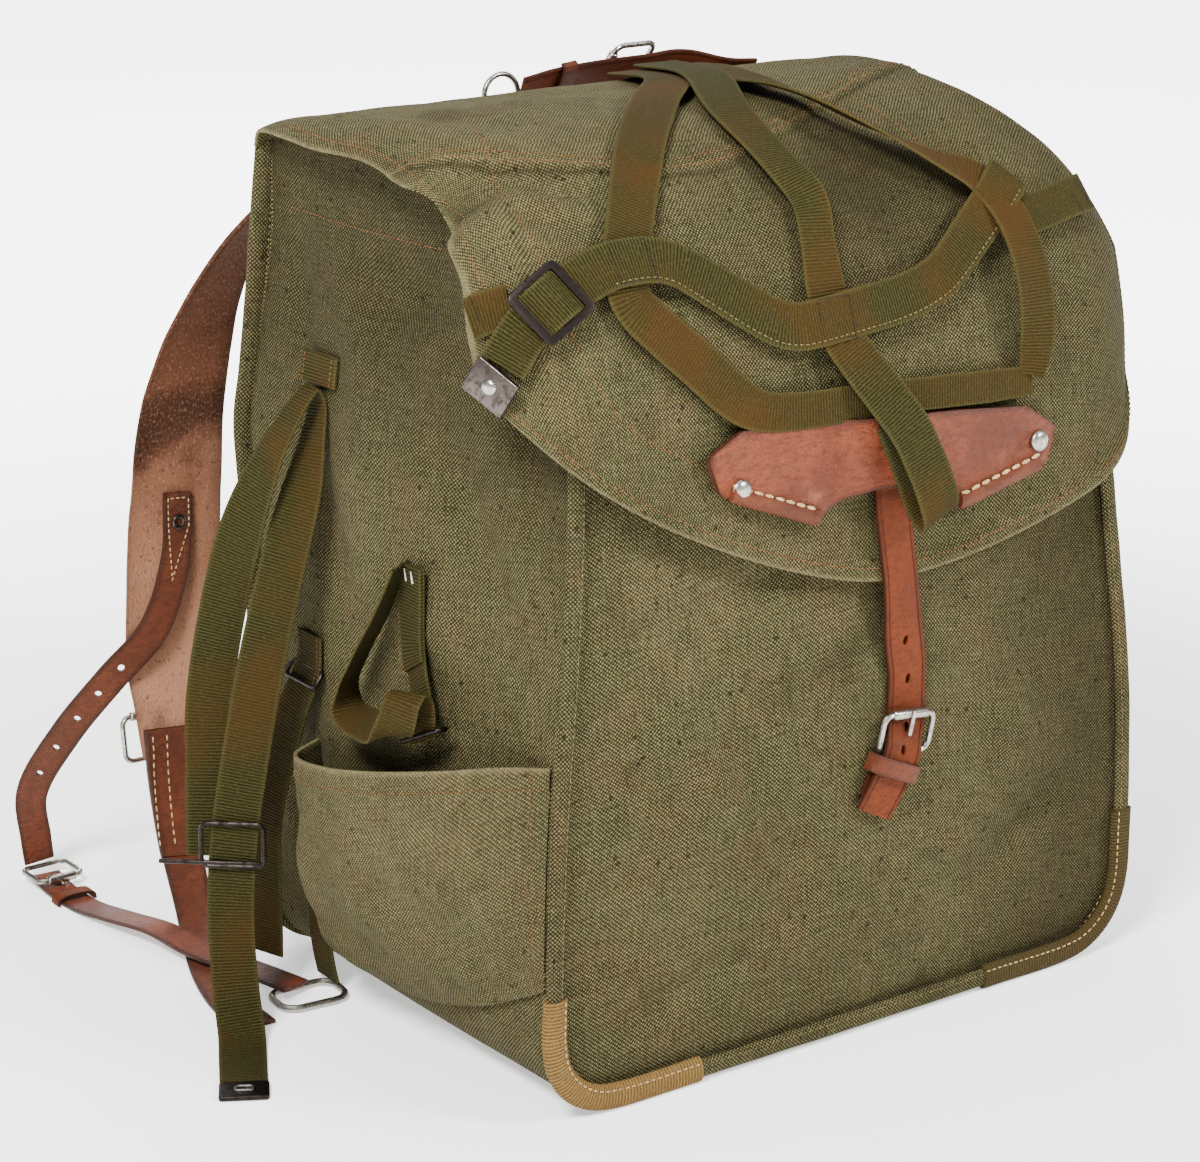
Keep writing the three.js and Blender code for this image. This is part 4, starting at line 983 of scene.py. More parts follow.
flap = {
    "length": 443, "edgeDrop": 78, "cornerDrop": 28, "skew": 0.13, "wall": 2, "widest": 222,
    "radius": 60, "rightRadius": 30, "rightEarly": 34, "reach": 290, "hem": 9, "step": 2.0, "slack": 1.5,
    # y and z of the middle, from the back seam to the front edge
    "line": [
        (126, 456), (114, 469), (78, 478), (20, 482), (-40, 475), (-86, 455), (-117, 420), (-135, 374),
        (-142, 326), (-145, 230),
    ],
    # along, half width, half width of the level part
    "spread": [
        (0, 197, 186), (50, 207, 172), (160, 216, 160), (300, 222, 150), (470, 222, 150),
    ],
    # across and along, where the overlap is sewn
    "seam": [
        (-230, 130), (-192, 160), (-140, 186), (-90, 208), (-40, 206), (28, 176), (96, 138), (160, 102),
        (225, 66),
    ],
    # the left edge is drawn in where it buckles; a notch has a middle, half width and depth
    "drawnIn": 8, "drawnFrom": (80, 150), "drawnTo": (250, 310), "notch": (204, 15, 7),
    "buckle": [
        (-244, 214, -164, 186, -12, 10), (-240, 240, -150, 206, 4.5, 11), (-170, 196, -128, 216, -5, 10),
        (-230, 176, -186, 166, 3, 9),
    ],
    "folds": [
        (-200, 178, -162, 206, -3, 11), (-188, 200, -148, 244, -7, 12), (-172, 174, -120, 222, -4, 9),
        (-60, 230, -36, 330, -2.5, 13), (20, 190, 60, 330, -2.5, 14), (130, 150, 170, 300, -3.5, 16),
        (-150, 380, -80, 420, -2.5, 13), (120, 330, 180, 380, -3, 14), (-120, 60, 60, 90, -3, 20),
        (-60, 120, 40, 140, -2.5, 14), (-165, 90, -120, 150, -3, 13), (60, 90, 130, 70, -2.5, 14),
    ],
    "soilAndShade": (25, 235, 75, 62), "notchShade": (-196, 202, 16, 9),  # painted shade spots: middle and reach both ways
}


def flapLinePoint(t):
    line = flap["line"]
    last = len(line) - 1
    i = min(int(t * last), last - 1)
    a, b, c, d = (Vector(line[clamp(k, 0, last)]) for k in (i - 1, i, i + 1, i + 2))
    return hermite(b, c, (c - a) / 2, (d - b) / 2, t * last - i)


flapTrack = [flapLinePoint(k / 600) for k in range(601)]
flapRun = [0.0]
for k in range(600):
    flapRun.append(flapRun[-1] + (flapTrack[k + 1] - flapTrack[k]).length)


def flapFrame(across, along):
    along = clamp(along, 0, flapRun[-1])
    k = min(bisect_right(flapRun, along) - 1, 599)
    line = flapTrack[k].lerp(flapTrack[k + 1], (along - flapRun[k]) / (flapRun[k + 1] - flapRun[k]))
    heading = (flapTrack[min(k + 2, 600)] - flapTrack[max(k - 1, 0)]).normalized()
    sag = math.sin(math.pi * clamp(along / flap["reach"])) if across > 0 else 0
    level = smoothRead(flap["spread"], 2, along) - flap["rightEarly"] * sag
    radius = flap["radius"] + flap["rightRadius"] * sag
    angle = max(abs(across) - level, 0) / radius
    x = min(abs(across), level) + radius * math.sin(angle)
    depth = radius * (1 - math.cos(angle))
    hand = math.copysign(1, across)
    up = Vector((heading.y, -heading.x))
    at = Vector((hand * x, line.x - up.x * depth, line.y - up.y * depth))
    return at, Vector((hand * math.sin(angle), up.x * math.cos(angle), up.y * math.cos(angle)))


def overFlap(across, along, lift):
    at, normal = flapFrame(across, along)
    return at + normal * lift


def flapHalf(hand, along):
    half = smoothRead(flap["spread"], 1, along)
    if hand < 0:
        middle, wide, deep = flap["notch"]
        half -= flap["drawnIn"] * ease(*flap["drawnFrom"], along) * (1 - ease(*flap["drawnTo"], along))
        half -= deep * math.exp(-(((along - middle) / wide) ** 2))
    return half


def flapReach(w):
    return flap["length"] - flap["edgeDrop"] * abs(w) ** 1.6 - flap["cornerDrop"] * w ** 8


def flapLimit(across):  # how far along the flap its front edge lies
    half = flap["widest"]
    for guess in range(3):
        w = clamp(across / half, -1, 1)
        reach = flapReach(w)
        half = smoothRead(flap["spread"], 1, reach)
    return reach + flap["skew"] * w * half


def flapEdges(across, along):  # distance in from the edge, and behind the seam of the overlap
    rim = min(flapLimit(across) - along, flapHalf(across, along) - abs(across))
    return rim, straightRead(flap["seam"], 1, across) - along


def flapLift(across, along):
    rim, behind = flapEdges(across, along)
    thick = max(1 - ease(flap["hem"], flap["hem"] + 2.5, rim), ease(-5, -3.5, behind))
    wave = flap["slack"] * (ripple(across, along, 11, 48) - 1) + 0.5 * (ripple(across, along, 3, 18) - 1)
    wave = (wave + foldLift(flap["folds"], across, along)) * (ease(4, 40, rim) * ease(0, 40, along))
    pucker = 0.5 * math.sin((across - along * 0.4) * 0.5) * math.exp(-((behind - 2) / 11) ** 2)
    return wave + foldLift(flap["buckle"], across, along) + flap["step"] * (thick - 1) + pucker - 0.3


def flapSpot(u, v):
    w = 2 * u - 1
    reach = flapReach(w)
    half = flapHalf(w, v * reach)
    return w * half, v * (reach + flap["skew"] * w * half)


def flapCloth(u, v):
    across, along = flapSpot(u, v)
    return overFlap(across, along, flapLift(across, along))


def flapWearAndShading(u, v):
    across, along = flapSpot(u, v)
    rim, behind = flapEdges(across, along)
    # painted shade over the middle of the flap, and darker towards its right
    soilAndShade = 0.68 * near(across, along, flap["soilAndShade"]) + 0.3 * ease(90, 170, across)
    shade = 0.6 * math.exp(-(((behind + 7) / 2.6) ** 2)) * ease(2, 8, rim)  # painted shadow under the edge of the overlap
    # painted shade in the notch of the left edge
    shade += 0.5 * near(across, along, flap["notchShade"])
    # the rims are rubbed lighter; the line along the overlap's edge is rubbed wear and a painted highlight
    rubbed = 0.5 * (1 - ease(0.2, 1.8, rim)) + 0.2 * (1 - ease(0, 2.5, abs(behind + 2)))
    return rubbed - max(soilAndShade * ease(2, 8, rim), shade)


flapPiece = clothPiece("flap_cloth", flapCloth, 168, 164, flap["wall"], flapWearAndShading)
finishPiece(flapPiece, "canvas", ["flap"])


def onFlap(spots):  # a sewing line through points given across and along the flap
    points = [Vector((a, b, 0)) for a, b in spots]
    path = []
    for k in range(len(points) - 1):
        count = max(2, int((points[k + 1] - points[k]).length / flapSewing["fine"]))
        path += [curvePoint(points, (k + n / count) / (len(points) - 1)) for n in range(count)]
    path.append(points[-1])
    return [(overFlap(p.x, p.y, flapLift(p.x, p.y) + 0.15), flapFrame(p.x, p.y)[1]) for p in path]


def rimLine(inset):  # a line that keeps its distance from the flap's edge
    front = [(k / 50 - 1) * (flap["widest"] - inset) for k in range(101)]
    spots = [(across, flapLimit(across) - inset) for across in front]
    leftUp = [(inset - flapHalf(-1, along), along) for along in range(40, int(spots[0][1]) - 4, 12)]
    rightUp = [(flapHalf(1, along) - inset, along) for along in range(40, int(spots[-1][1]) - 4, 12)]
    return leftUp + spots + rightUp[::-1]


def seamLine(back):
    return [(a, straightRead(flap["seam"], 1, a) - back) for a in range(-198, 208, 8)]


flapSewing = {
    "inset": 7.0, "seams": (-2, 4), "fine": 6.0, "stitch": (3.6, 2.8, 0.8), "outlineStitch": (3.6, 2.8, 0.85),
    "outlines": [
        [(-150, 144), (-172, 210), (-174, 248), (-170, 294), (-158, 326), (-138, 348), (-106, 366)],
        [(78, 150), (78, 182), (80, 206), (84, 230)],
    ],
}
runs = [(onFlap(rimLine(flapSewing["inset"])), *flapSewing["stitch"])]
runs += [(onFlap(seamLine(back)), *flapSewing["stitch"]) for back in flapSewing["seams"]]
runs += [(onFlap(outline), *flapSewing["outlineStitch"]) for outline in flapSewing["outlines"]]
sew("flap_rim_stitches", runs, "rust")
print("flap made")

# Webbing harness over the flap

harness = {
    "thick": 1.6,
    "widths": {
        "loop_web": 25, "web_right": 25, "web_middle": 25, "cross_strap": 24, "cross_end": 21,
        "cross_anchor": 21},
    "brown": ("loop_web", "web_right", "cross_anchor"),
    # nodes that a strap stands for, where they aren't the one of its name
    "nodes": {"loop_web": ["web_left", "web_lower"], "cross_end": []},
    # across and along the flap, lift, then twist on edge and width where they differ
    "loop_web": [
        (16, 44, 1.6), (0, 100, 1.6), (-42, 146, 1.8), (-84, 192, 1.8), (-112, 228, 1.6), (-130, 256, 1.6),
        (-137, 272, 1.6), (-136, 284, 1.6), (-124, 299, 1.8), (-107, 316, 1.8), (-90, 333, 2, 0, 24),
        (-81, 340, 2.6, 0, 22), (-70, 344.5, 3.2, 0, 20), (-50, 347, 3.2, 0, 19), (-22, 348, 3.2, 0, 18),
        (8, 349, 2.6, 0, 17), (42, 351, 2.4, 0, 17), (76, 353, 2.4, 0, 17), (102, 354, 2.4, 0, 15),
    ],
    "web_right": [
        (46, 50, 1.8), (39, 86, 1.8), (32, 120, 1.9), (30, 172, 6.8, -24), (44, 208, 7.6, -33),
        (74, 236, 5.8, -26), (95, 250, 4.6, -8), (102, 268, 7, -6), (103, 291, 11, -6),
        (103, 317, 11, 0, 23), (102, 336, 8, 16, 19), (101, 351, 4.8, 34, 13),
    ],
    "web_middle": [
        (31, 48, 4.4), (12, 116, 4.4), (-14, 172, 2.4), (-19, 220, 2.4, 0, 23), (-16, 246, 4.4, 24, 19),
        (-20, 268, 3, 12, 19), (-22, 296, 1.6), (-19, 314, 2.8), (-12, 330, 7), (-3, 346, 13),
        (6, 362, 19), (13, 379, 22.6), (18, 393, 24.4), (22, 403, 23.6), (25, 409, 20), (26, 410, 14.6),
        (24.5, 405, 10.4), (19, 391, 9.2), (12, 374, 9), (5, 358, 8.8),
    ],
    "cross_strap": [
        (-205, 301, 4), (-193, 286, 2.6), (-178, 276, 2.6), (-162, 269, 2.6), (-148, 265, 4),
        (-134, 264, 4.8), (-119, 265, 4.4), (-107, 269, 3.6), (-97, 275.5, 3), (-77, 290, 2.6),
        (-61, 301, 3.2), (-53, 305, 3.8), (-44, 307, 4.4), (-34, 307, 4.8), (-9, 305, 4.4), (22, 302, 2.8),
        (40, 298, 2.8), (52, 293, 3.2), (61, 287, 3.8), (69, 281, 4.2), (94, 263, 5.8), (106, 254, 6.4),
        (113, 248.5, 6.2),
    ],
    "cross_end": [
        (112, 272, 3.4), (124, 270, 2.6), (140, 267, 1.8), (154, 264, 1.5), (168, 261, 1.3),
    ],
    "cross_anchor": [
        (-217, 269, 1.3), (-208, 269, 1.3), (-196, 270, 1.2),
    ],
    "boxes": [(-132, 264, 21, 20), (-22, 306, 20, 20)],  # sewn crossings: middle and size
    # short rows of stitches: from, to and lift
    "tacks": [
        (134, 259, 138, 277, 2.9), (152, 255, 156, 273, 2.5), (162, 253, 166, 271, 2.3),
        (-213, 256, -211, 281, 2.3), (-213, 280, -197, 281, 2.3),
    ],
}


def flapStations(rows, usual):
    stations = []
    for k, row in enumerate(rows):
        normal = flapFrame(row[0], row[1])[1]
        heading = overFlap(*rows[min(k + 1, len(rows) - 1)][:3]) - overFlap(*rows[max(k - 1, 0)][:3])
        heading.normalize()
        side = heading.cross(normal)
        last = stations[-1][1] if stations else side
        if side.length < 0.8:
            side = last.copy()
        if side.dot(last) < 0:
            side = -side
        twist = row[3] if len(row) > 3 else 0
        side = Matrix.Rotation(math.radians(twist), 3, heading) @ side.normalized()
        stations.append((overFlap(*row[:3]), side, row[4] if len(row) > 4 else usual))
    return stations


harnessFrames = {}
for name, width in harness["widths"].items():
    harnessFrames[name] = strapFrames(flapStations(harness[name], width))
    look = "brownWeb" if name in harness["brown"] else "web"
    nodes = harness["nodes"].get(name, [name])
    addStrap(name + "_band", harnessFrames[name], harness["thick"], "web", look, nodes, 0.25)


def boxLine(across, along, wide, high):  # a square of stitches over a crossing
    turns = ((-1, -1), (1, -1), (1, 1), (-1, 1), (-1, -1))
    return [(across + x * wide / 2, along + y * high / 2) for x, y in turns]


def straightOnFlap(spots, lift):
    path = []
    for (a, b), (c, d) in zip(spots, spots[1:]):
        path += [(between(a, c, t / 6), between(b, d, t / 6)) for t in range(6)]
    path.append(spots[-1])
    return [(overFlap(a, b, lift), flapFrame(a, b)[1]) for a, b in path]


crossLine = facing(harnessFrames["cross_strap"], Vector((0, -0.5, 1)), 9.2, 0.85, 0.2, 0.99)
sew("harness_stitches", [(crossLine, 3.6, 2.6, 0.7)], "straw")
runs = [(straightOnFlap(boxLine(*box), 5.8), 2.6, 2.2, 0.6) for box in harness["boxes"]]
for a, b, c, d, lift in harness["tacks"]:
    runs.append((straightOnFlap([(a, b), (c, d)], lift), 2.4, 2.1, 0.7))
sew("harness_tacks", runs, "black")

# place on the flap and the way each points; size; lift; then the webbing through the slide: along it, lift
crossMetal = {
    "slideAt": (-178, 276, 15, -7.5), "slide": (32, 31, 2.4), "slideLift": 5.4,
    "threaded": [(-13, 4.2), (-9, 4.8), (-4, 7.6), (0, 8.0), (4, 7.6), (9, 4.8), (13, 4.2)],
    "tipAt": (-212.4, 310, -13, 15), "tip": (25, 19, 3.0, 1.2, 0.9), "tipLift": 4.4, "rivet": (8, 1.8, 1.4),
}


def flapAxes(across, along, stepAcross, stepAlong):
    at, normal = flapFrame(across, along)
    forward = (flapFrame(across + stepAcross, along + stepAlong)[0] - at).normalized()
    return at, normal, forward, forward.cross(normal).normalized()


def flatSlide(width, height, thick):  # a stamped slide with two openings
    piece = plate(width, height, thick, 4, 0.7)
    openings = []
    for hand in (-1, 1):
        opening = plate(width - 7, height * 0.29, thick * 4, 1.5, 0.2)
        opening.data.transform(Matrix.Translation((0, hand * height * 0.215 * mm, 0)))
        openings.append(opening)
    cutAway(piece, openings)
    return piece


at, normal, forward, right = flapAxes(*crossMetal["slideAt"])
fitMetal("cross_slide_frame", [flatSlide(*crossMetal["slide"])], at + normal * crossMetal["slideLift"],
         right, forward, "steel", ["cross_slide"])
threaded = [(at + forward * run + normal * lift, right, 24) for run, lift in crossMetal["threaded"]]
addStrap("cross_slide_web", strapFrames(threaded, 1.5), 1.5, "web", "web")
at, normal, forward, right = flapAxes(*crossMetal["tipAt"])
tipMiddle = at + normal * crossMetal["tipLift"]
fitMetal("cross_tip_plate", [plate(*crossMetal["tip"])], tipMiddle, right, forward, "dull", ["cross_tip"])
fitMetal("cross_tip_rivet", [dome(*crossMetal["rivet"])], tipMiddle, right, forward, "nickel")
print("harness made")

# Leather patch and closure

patch = {
    "across": 6, "above": 67, "tilt": -0.083, "thick": 3, "bridge": 3,
    # across, lower and upper edge
    "edge": [
        (-112, 3, 5), (-106, -14, 9), (-92, -19, 17), (-47, -33, 18), (-39, -26, 18), (-28, -21, 18),
        (-12, -18, 18), (12, -18, 18), (28, -21, 18), (39, -26, 18), (47, -33, 18), (92, -19, 17),
        (106, -14, 9), (112, 3, 5),
    ],
    "rolls": {"left": (-100, -46), "right": (46, 100)},  # rolled and sewn lower edges
    "stitch": (7, 6.4, 2.3), "rivets": [(-88, 380), (106, 386)], "rivet": (11.5, 2.8),
}


def patchSpot(across, rise):
    return patch["across"] + across, flap["length"] - patch["above"] - rise - patch["tilt"] * across


def patchLift(across):
    return patch["thick"] + 0.5 + patch["bridge"] * clamp((32 - abs(across)) / 14)


def patchSurface(u, v):
    across = between(patch["edge"][0][0], patch["edge"][-1][0], u)
    rise = between(straightRead(patch["edge"], 1, across), straightRead(patch["edge"], 2, across), v)
    bump = 0.9 * ripple(across, rise, 2, 14) + 0.6 * ripple(across, rise, 9, 6)
    return overFlap(*patchSpot(across, rise), patchLift(across) + bump * (0.3 + 0.7 * seamEase(v, 0.15)))


def patchWear(u, v):
    rim = max(1 - ease(0, 0.09, min(v, 1 - v)), 1 - ease(0, 0.024, min(u, 1 - u)))
    return max(rim, 0.2 * ease(0.58, 0.8, u))  # the right end is browner


def patchEdge(ends, above, lift):
    path = []
    for k in range(15):
        across = between(*ends, k / 14)
        spot = patchSpot(across, straightRead(patch["edge"], 1, across) + above)
        path.append((overFlap(*spot, patchLift(across) + lift), flapFrame(*spot)[1]))
    return path


patchPiece = clothPiece("patch_leather", patchSurface, 120, 26, patch["thick"], patchWear)
finishPiece(patchPiece, "patch", ["flap_patch"])
runs = []
for label, ends in patch["rolls"].items():
    path = patchEdge(ends, 3.2, 0.6)
    rolled = [(p, (path[-1][0] - path[0][0]).cross(n).normalized(), 8) for p, n in path]
    addStrap("patch_roll_" + label, strapFrames(rolled), 4.6, "welt", "dark", (), 0.5)
    runs.append((patchEdge(ends, 7.6, 1.0), *patch["stitch"]))
tackSpots = [patchSpot(-1, rise) for rise in (15, 11, 7, 3)]
runs.append(([(overFlap(*spot, 7), flapFrame(*spot)[1]) for spot in tackSpots], 4.4, 3.6, 1.2))
sew("patch_stitches", runs, "cream")
rivets = []
for spot in patch["rivets"]:
    at, normal = flapFrame(*spot)
    head = dome(*patch["rivet"])
    setInPlace(head, at + normal * 4.1, xAxis, normal.cross(xAxis))
    rivets.append(head)
finishPiece(gather(rivets, "patch_rivets"), "nickel")

closure = {
    "width": 25, "slim": 22, "thick": 2.4,
    # on the flap: x, distance along it, lift
    "upper": [(8, 372, 1.8), (9, 400, 1.8), (12, 424, 1.8), (15, 444, 1.8)],
    # below the flap: x, height, lift
    "lower": [
        (20, 220, 6), (24, 202, 3.4), (24.5, 190, 2.4), (23.5, 178, 3), (20.5, 167, 5.8), (17.5, 158, 8),
        (14, 150, 7.2), (2, 127, 4.2),
    ],
    "turned": 172,  # the strap turns aside below this height
    "chape": [(18, 158, 1.6), (13, 147, 1.6), (6, 133, 1.6)],
    "keeperAt": (14, 150), "keeper": [(-16, 1.4), (-15, 8), (-11, 10.6), (11, 10.6), (15, 8), (16, 1.4)],
    "holes": [(20.5, 218), (24.5, 196), (22, 171), (17.5, 160)], "hole": (5.5, 3.4),
    "buckleAt": (21.5, 168, 6), "buckle": (33, 21),
}
stations = [(overFlap(*row), Vector((1, 0, 0.05)), closure["slim"]) for row in closure["upper"]]
for x, z, lift in closure["lower"]:
    side = Vector((1, 0, -0.4 if z < closure["turned"] else 0.05))
    stations.append((onFront(x, z, lift), side, closure["width"]))
closurePiece = strapPiece("closure_leather", strapFrames(stations), closure["thick"], "leather", 0.2)
holes = [(onFront(x, z, 4), Vector((0.1, 0, 1)), -yAxis) for x, z in closure["holes"]]
punchHoles(closurePiece, holes, *closure["hole"])
finishPiece(closurePiece, "tan", ["closure_strap"])
stations = [(onFront(*row), Vector((1, 0, -0.45)), closure["width"] - 1) for row in closure["chape"]]
addStrap("chape_leather", strapFrames(stations), closure["thick"], "leather", "tan",
         ["buckle_chape"])
x, z = closure["keeperAt"]
stations = []
for across, lift in closure["keeper"]:
    stations.append((onFront(x + across * 0.91, z - across * 0.41, lift), Vector((0.41, 0, 0.91)), 10))
addStrap("keeper_leather", strapFrames(stations, 1.5), 1.8, "plain", "dark", ["chape_keeper"])
fitMetal("closure_buckle_metal", rollerBuckle(*closure["buckle"]), onFront(*closure["buckleAt"]),
         Vector((1, 0, -0.12)), Vector((0.12, -0.12, 1)), "nickel", ["closure_buckle"])
print("patch and closure made")

# Side pockets

pocket = {
    # share of the side's depth, bottom and top height, swell
    "shape": [
        (0.004, 71, 187, 0), (0.07, 62, 186, 14), (0.2, 46, 178, 27), (0.42, 29, 164, 34),
        (0.6, 22, 154, 32), (0.7, 19, 151, 25), (0.755, 18, 150, 0),
    ],
    "hem": 12, "rise": 1.3,
    "folds": [
        (0.1, 0.2, 0.35, 0.55, -4.5, 0.07), (0.4, 0.15, 0.62, 0.5, -5, 0.06),
        (0.55, 0.5, 0.7, 0.8, -4, 0.05), (0.2, 0.6, 0.5, 0.75, 3, 0.08),
        (0.12, 0.42, 0.4, 0.3, -3.5, 0.05), (0.5, 0.3, 0.7, 0.28, -3.5, 0.05),
    ],
}


def pocketShare(u):
    return between(pocket["shape"][0][0], pocket["shape"][-1][0], (1 - math.cos(math.pi * u)) / 2)


def pocketPoint(sign, u, v, lift=0.0):
    share = pocketShare(u)
    low, high, swell = (smoothRead(pocket["shape"], column, share) for column in (1, 2, 3))
    rise = v ** pocket["rise"]
    fill = math.sin(min(rise / 0.55, 1) * math.pi / 2) * (1 - 0.12 * rise ** 3)
    z = between(low, high, rise)
    point = sidePoint(sign, share, z)
    hemmed = 1 - ease(pocket["hem"] - 1.5, pocket["hem"] + 0.5, high - z)
    free = seamEase(u, 0.12) * ease(0, 0.15, v) * ease(0, 16, high - z)
    slack = foldLift(pocket["folds"], share, rise) + 1.8 * (ripple(point.y, z, 30, 26) - 0.6)
    gathers = math.exp(-(((rise - 0.12) / 0.13) ** 2))  # into the lower seam
    slack += 1.5 * math.sin(share * 74) * gathers
    point.x += sign * (bag["wall"] + 0.6 + swell * fill + slack * free + 0.7 * hemmed - 0.7 + lift)
    return point


def pocketWear(u, v):
    return 0.08 + 0.45 * (1 - ease(0, 0.02, 1 - v))


def pocketLine(sign, below):  # a sewing line under the pocket's upper edge
    path = []
    for k in range(4, 57):
        low, high = (smoothRead(pocket["shape"], column, pocketShare(k / 60)) for column in (1, 2))
        v = clamp((high - below - low) / (high - low)) ** (1 / pocket["rise"])
        path.append((pocketPoint(sign, k / 60, v, 0.2), xAxis * sign))
    return path


# Free straps of one side, drawn for the right: x, y, z, bearing of the width, then its pitch and the width
# where they differ

loose = {
    "side_strap": [
        (262, 80, 92, 38), (258, 85, 140, 38), (254, 90, 172, 42), (246, 85, 226, 48), (238, 74, 274, 62),
        (224, 66, 312, 78, 0, 20), (208, 64, 335, 89, 0, 16), (202, 64, 340, 90, 0, 15),
        (198.6, 64, 334, 90, 0, 15), (204, 61, 314, 78, 0, 18), (214, 57, 288, 62, 0, 24),
        (226, 56, 254, 52), (238, 58, 208, 46), (248, 60, 160, 42), (257, 62, 108, 40), (262, 60, 66, 40),
        (264, 54, 26, 40), (268, 42, 5, 38), (280, 20, 1.4, 36), (292, -2, 1.4, 34),
    ],
    "lower_web": [
        (202.6, 72, 206, 90), (203.6, 72, 188, 90), (211, 76, 166, 84), (218, 80, 142, 76),
        (227, 84, 104, 68), (227, 87, 64, 66), (226, 90, 24, 66),
    ],
    "pocket_strap": [
        (197, -22, 266, 90, -32), (198.4, -24, 226, 90, -32), (203, -36, 204, 90, -32),
        (206.4, -45, 188, 80, -28), (208, -47, 183.6, 70, -24), (210.6, -46, 187, 66, -20),
        (211, -46, 197, 62, -12), (213, -47, 206, 60, -4), (218, -49, 210.6, 58), (223.4, -51, 207, 58),
        (225.4, -49, 197, 56), (224, -40, 188, 50, -10), (220, -24, 183.6, 40, -30),
        (216, -6, 181, 30, -40), (214, 8, 179.6, 15, -30), (213.4, 17, 183, -5, -8), (213, 18, 194, -25),
        (211, 9, 212, -32, 8), (207, -6, 238, -36, 14), (201.6, -18, 266, -40, 20),
    ],
    "shoulder_strap": [
        (20, 128.8, 404, 180, 43), (34, 128.2, 419, 180, 43), (46, 129.4, 431, 174, 45),
        (64, 141, 441, 135, 46, 36), (96, 160, 444, 123, 14, 40), (142, 190, 418, 130, 0, 44),
        (168, 220, 360, 155, -5, 50), (178, 244, 296, 174, 0, 56), (180, 256, 232, 180, 0, 58),
        (184, 259, 170, 180, 0, 58), (188, 257, 134, 180, 0, 55), (191, 254, 108, 180, 0, 44),
        (195, 250, 80, 180, 0, 32),
    ],
    "strap_end": [
        (193, 249, 98, 0, 0, 33), (195, 245.3, 76, 0, 0, 31), (202, 226, 36, 6, 0, 25), (212, 194, 10, 14),
        (224, 164, 2.2, 18), (241, 122, 2, 18), (251, 84, 2, 8), (253, 52, 2, 2),
    ],
    "steady_strap": [
        (181, 252.4, 236, 0), (184, 251.4, 200, 0), (200, 250, 160, 14, 24), (226, 257, 132, 24, 30),
        (246, 276, 98, 34, 24), (259, 299, 56, 36, 12), (255.5, 304, 26, 18, 4), (253.4, 305.6, 10.7, 6),
    ],
    "steady_end": [
        (251, 304, 1.6, 0), (254, 276, 1.6, -2), (253, 246, 2, 0), (249, 214, 6, 6), (242, 178, 9.4, 10),
        (236, 146, 7, 12), (223, 102, 6.6, 14), (216, 74, 6.6, 12),
    ],
    "ring_tab": [
        (198.2, 77, 46, 90), (197.8, 77, 30, 90), (196, 77, 16, 90), (193.8, 77, 5, 90),
    ],
}
looseMake = {  # usual width, thickness, section, waviness, finish and slot of each
    "side_strap": (25, 1.6, "web", 0.3, "web", "webbing"),
    "lower_web": (25, 1.6, "web", 0.2, "web", "webbing"),
    "pocket_strap": (20, 1.6, "web", 0.2, "web", "webbing"),
    "shoulder_strap": (34, 3, "plain", 0.7, "rough", "rough_leather"),
    "strap_end": (22, 2.4, "leather", 0.2, "dark", "leather"),
    "steady_strap": (18, 2.4, "leather", 0.2, "dark", "leather"),
    "steady_end": (18, 2.4, "leather", 0.1, "patch", "leather"),
    "ring_tab": (22, 1.6, "web", 0, "web", "webbing"),
}


def wireLoop(*size):
    return [bentWire(*size)]


def flatPlate(*size):
    return [plate(*size)]


sideMetal = {  # maker and size, then the middle, right and up directions, finish and node
    "side_slide_wire": (
        wireLoop, (33, 23, 4, 2.6), (259.9, 59.4, 104), (0.77, 0.64, 0), (-0.1, 0.04, 1),
        "steel", "side_slide"),
    "side_tip_plate": (
        flatPlate, (26, 18, 2.6, 2, 0.8), (296.7, -10.5, 1.7), (0.86, 0.5, 0), (0.5, -0.86, 0),
        "steel", "side_tip"),
    "side_tip_staple": (
        wireLoop, (9, 5, 2, 1.4), (296.7, -10.5, 3.3), (0.86, 0.5, 0), (0.5, -0.86, 0), "nickel", ""),
    "pocket_slide_wire": (
        wireLoop, (30, 7, 3, 2.6), (208.4, -46.6, 186), (0.2, 0.86, -0.42), (0.97, -0.2, 0.1),
        "steel", "pocket_slide"),
    "strap_buckle_metal": (
        rollerBuckle, (48, 26), (194, 259.4, 92), (1, 0, 0), (0, 0.12, 1), "nickel", "strap_buckle"),
    "steady_buckle_metal": (
        rollerBuckle, (28, 24), (251, 294, 7.2), (1, 0, 0), (0, -1, 0), "nickel", "steady_buckle"),
    "base_ring_wire": (
        wireLoop, (38, 26, 9, 4), (212, 68, 2.6), (1, 0.1, 0), (0, 1, 0), "nickel", "base_ring"),
}
strapDetail = {
    "chape": 0.3, "eyelet": 0.07, "holes": [0.42, 0.5, 0.58, 0.66, 0.74], "fold": 0.8,  # shares of a strap
    "keeper": [(-11.5, 0.9), (-11.2, 3.4), (-8.6, 5), (8.6, 5), (11.2, 3.4), (11.5, 0.9)],  # across, height
    "leatherStitch": (5, 4, 1.1), "webStitch": (3, 2.4, 0.8),
    "slideBar": ((-15, -9.6, 0), (39, -9.6, 0), 2.4), "lowLoop": (30, 9, 3, 2.4), "lowLoopAt": (206, 73, 184),
    "eyeletRing": (6.4, 2.6, 28, 10), "tabAt": (197.5, 64, 349.5), "tabRises": (-8, -3, 3, 8),
}


def freeStations(rows, sign, usual):
    stations = []
    for row in rows:
        x, y, z, bearing = row[:4]
        bearing = math.radians(bearing)
        pitch = math.radians(row[4]) if len(row) > 4 else 0
        level = math.cos(pitch)
        side = Vector((sign * math.cos(bearing) * level, math.sin(bearing) * level, math.sin(pitch)))
        stations.append((Vector((sign * x, y, z)), side, row[5] if len(row) > 5 else usual))
    return stations


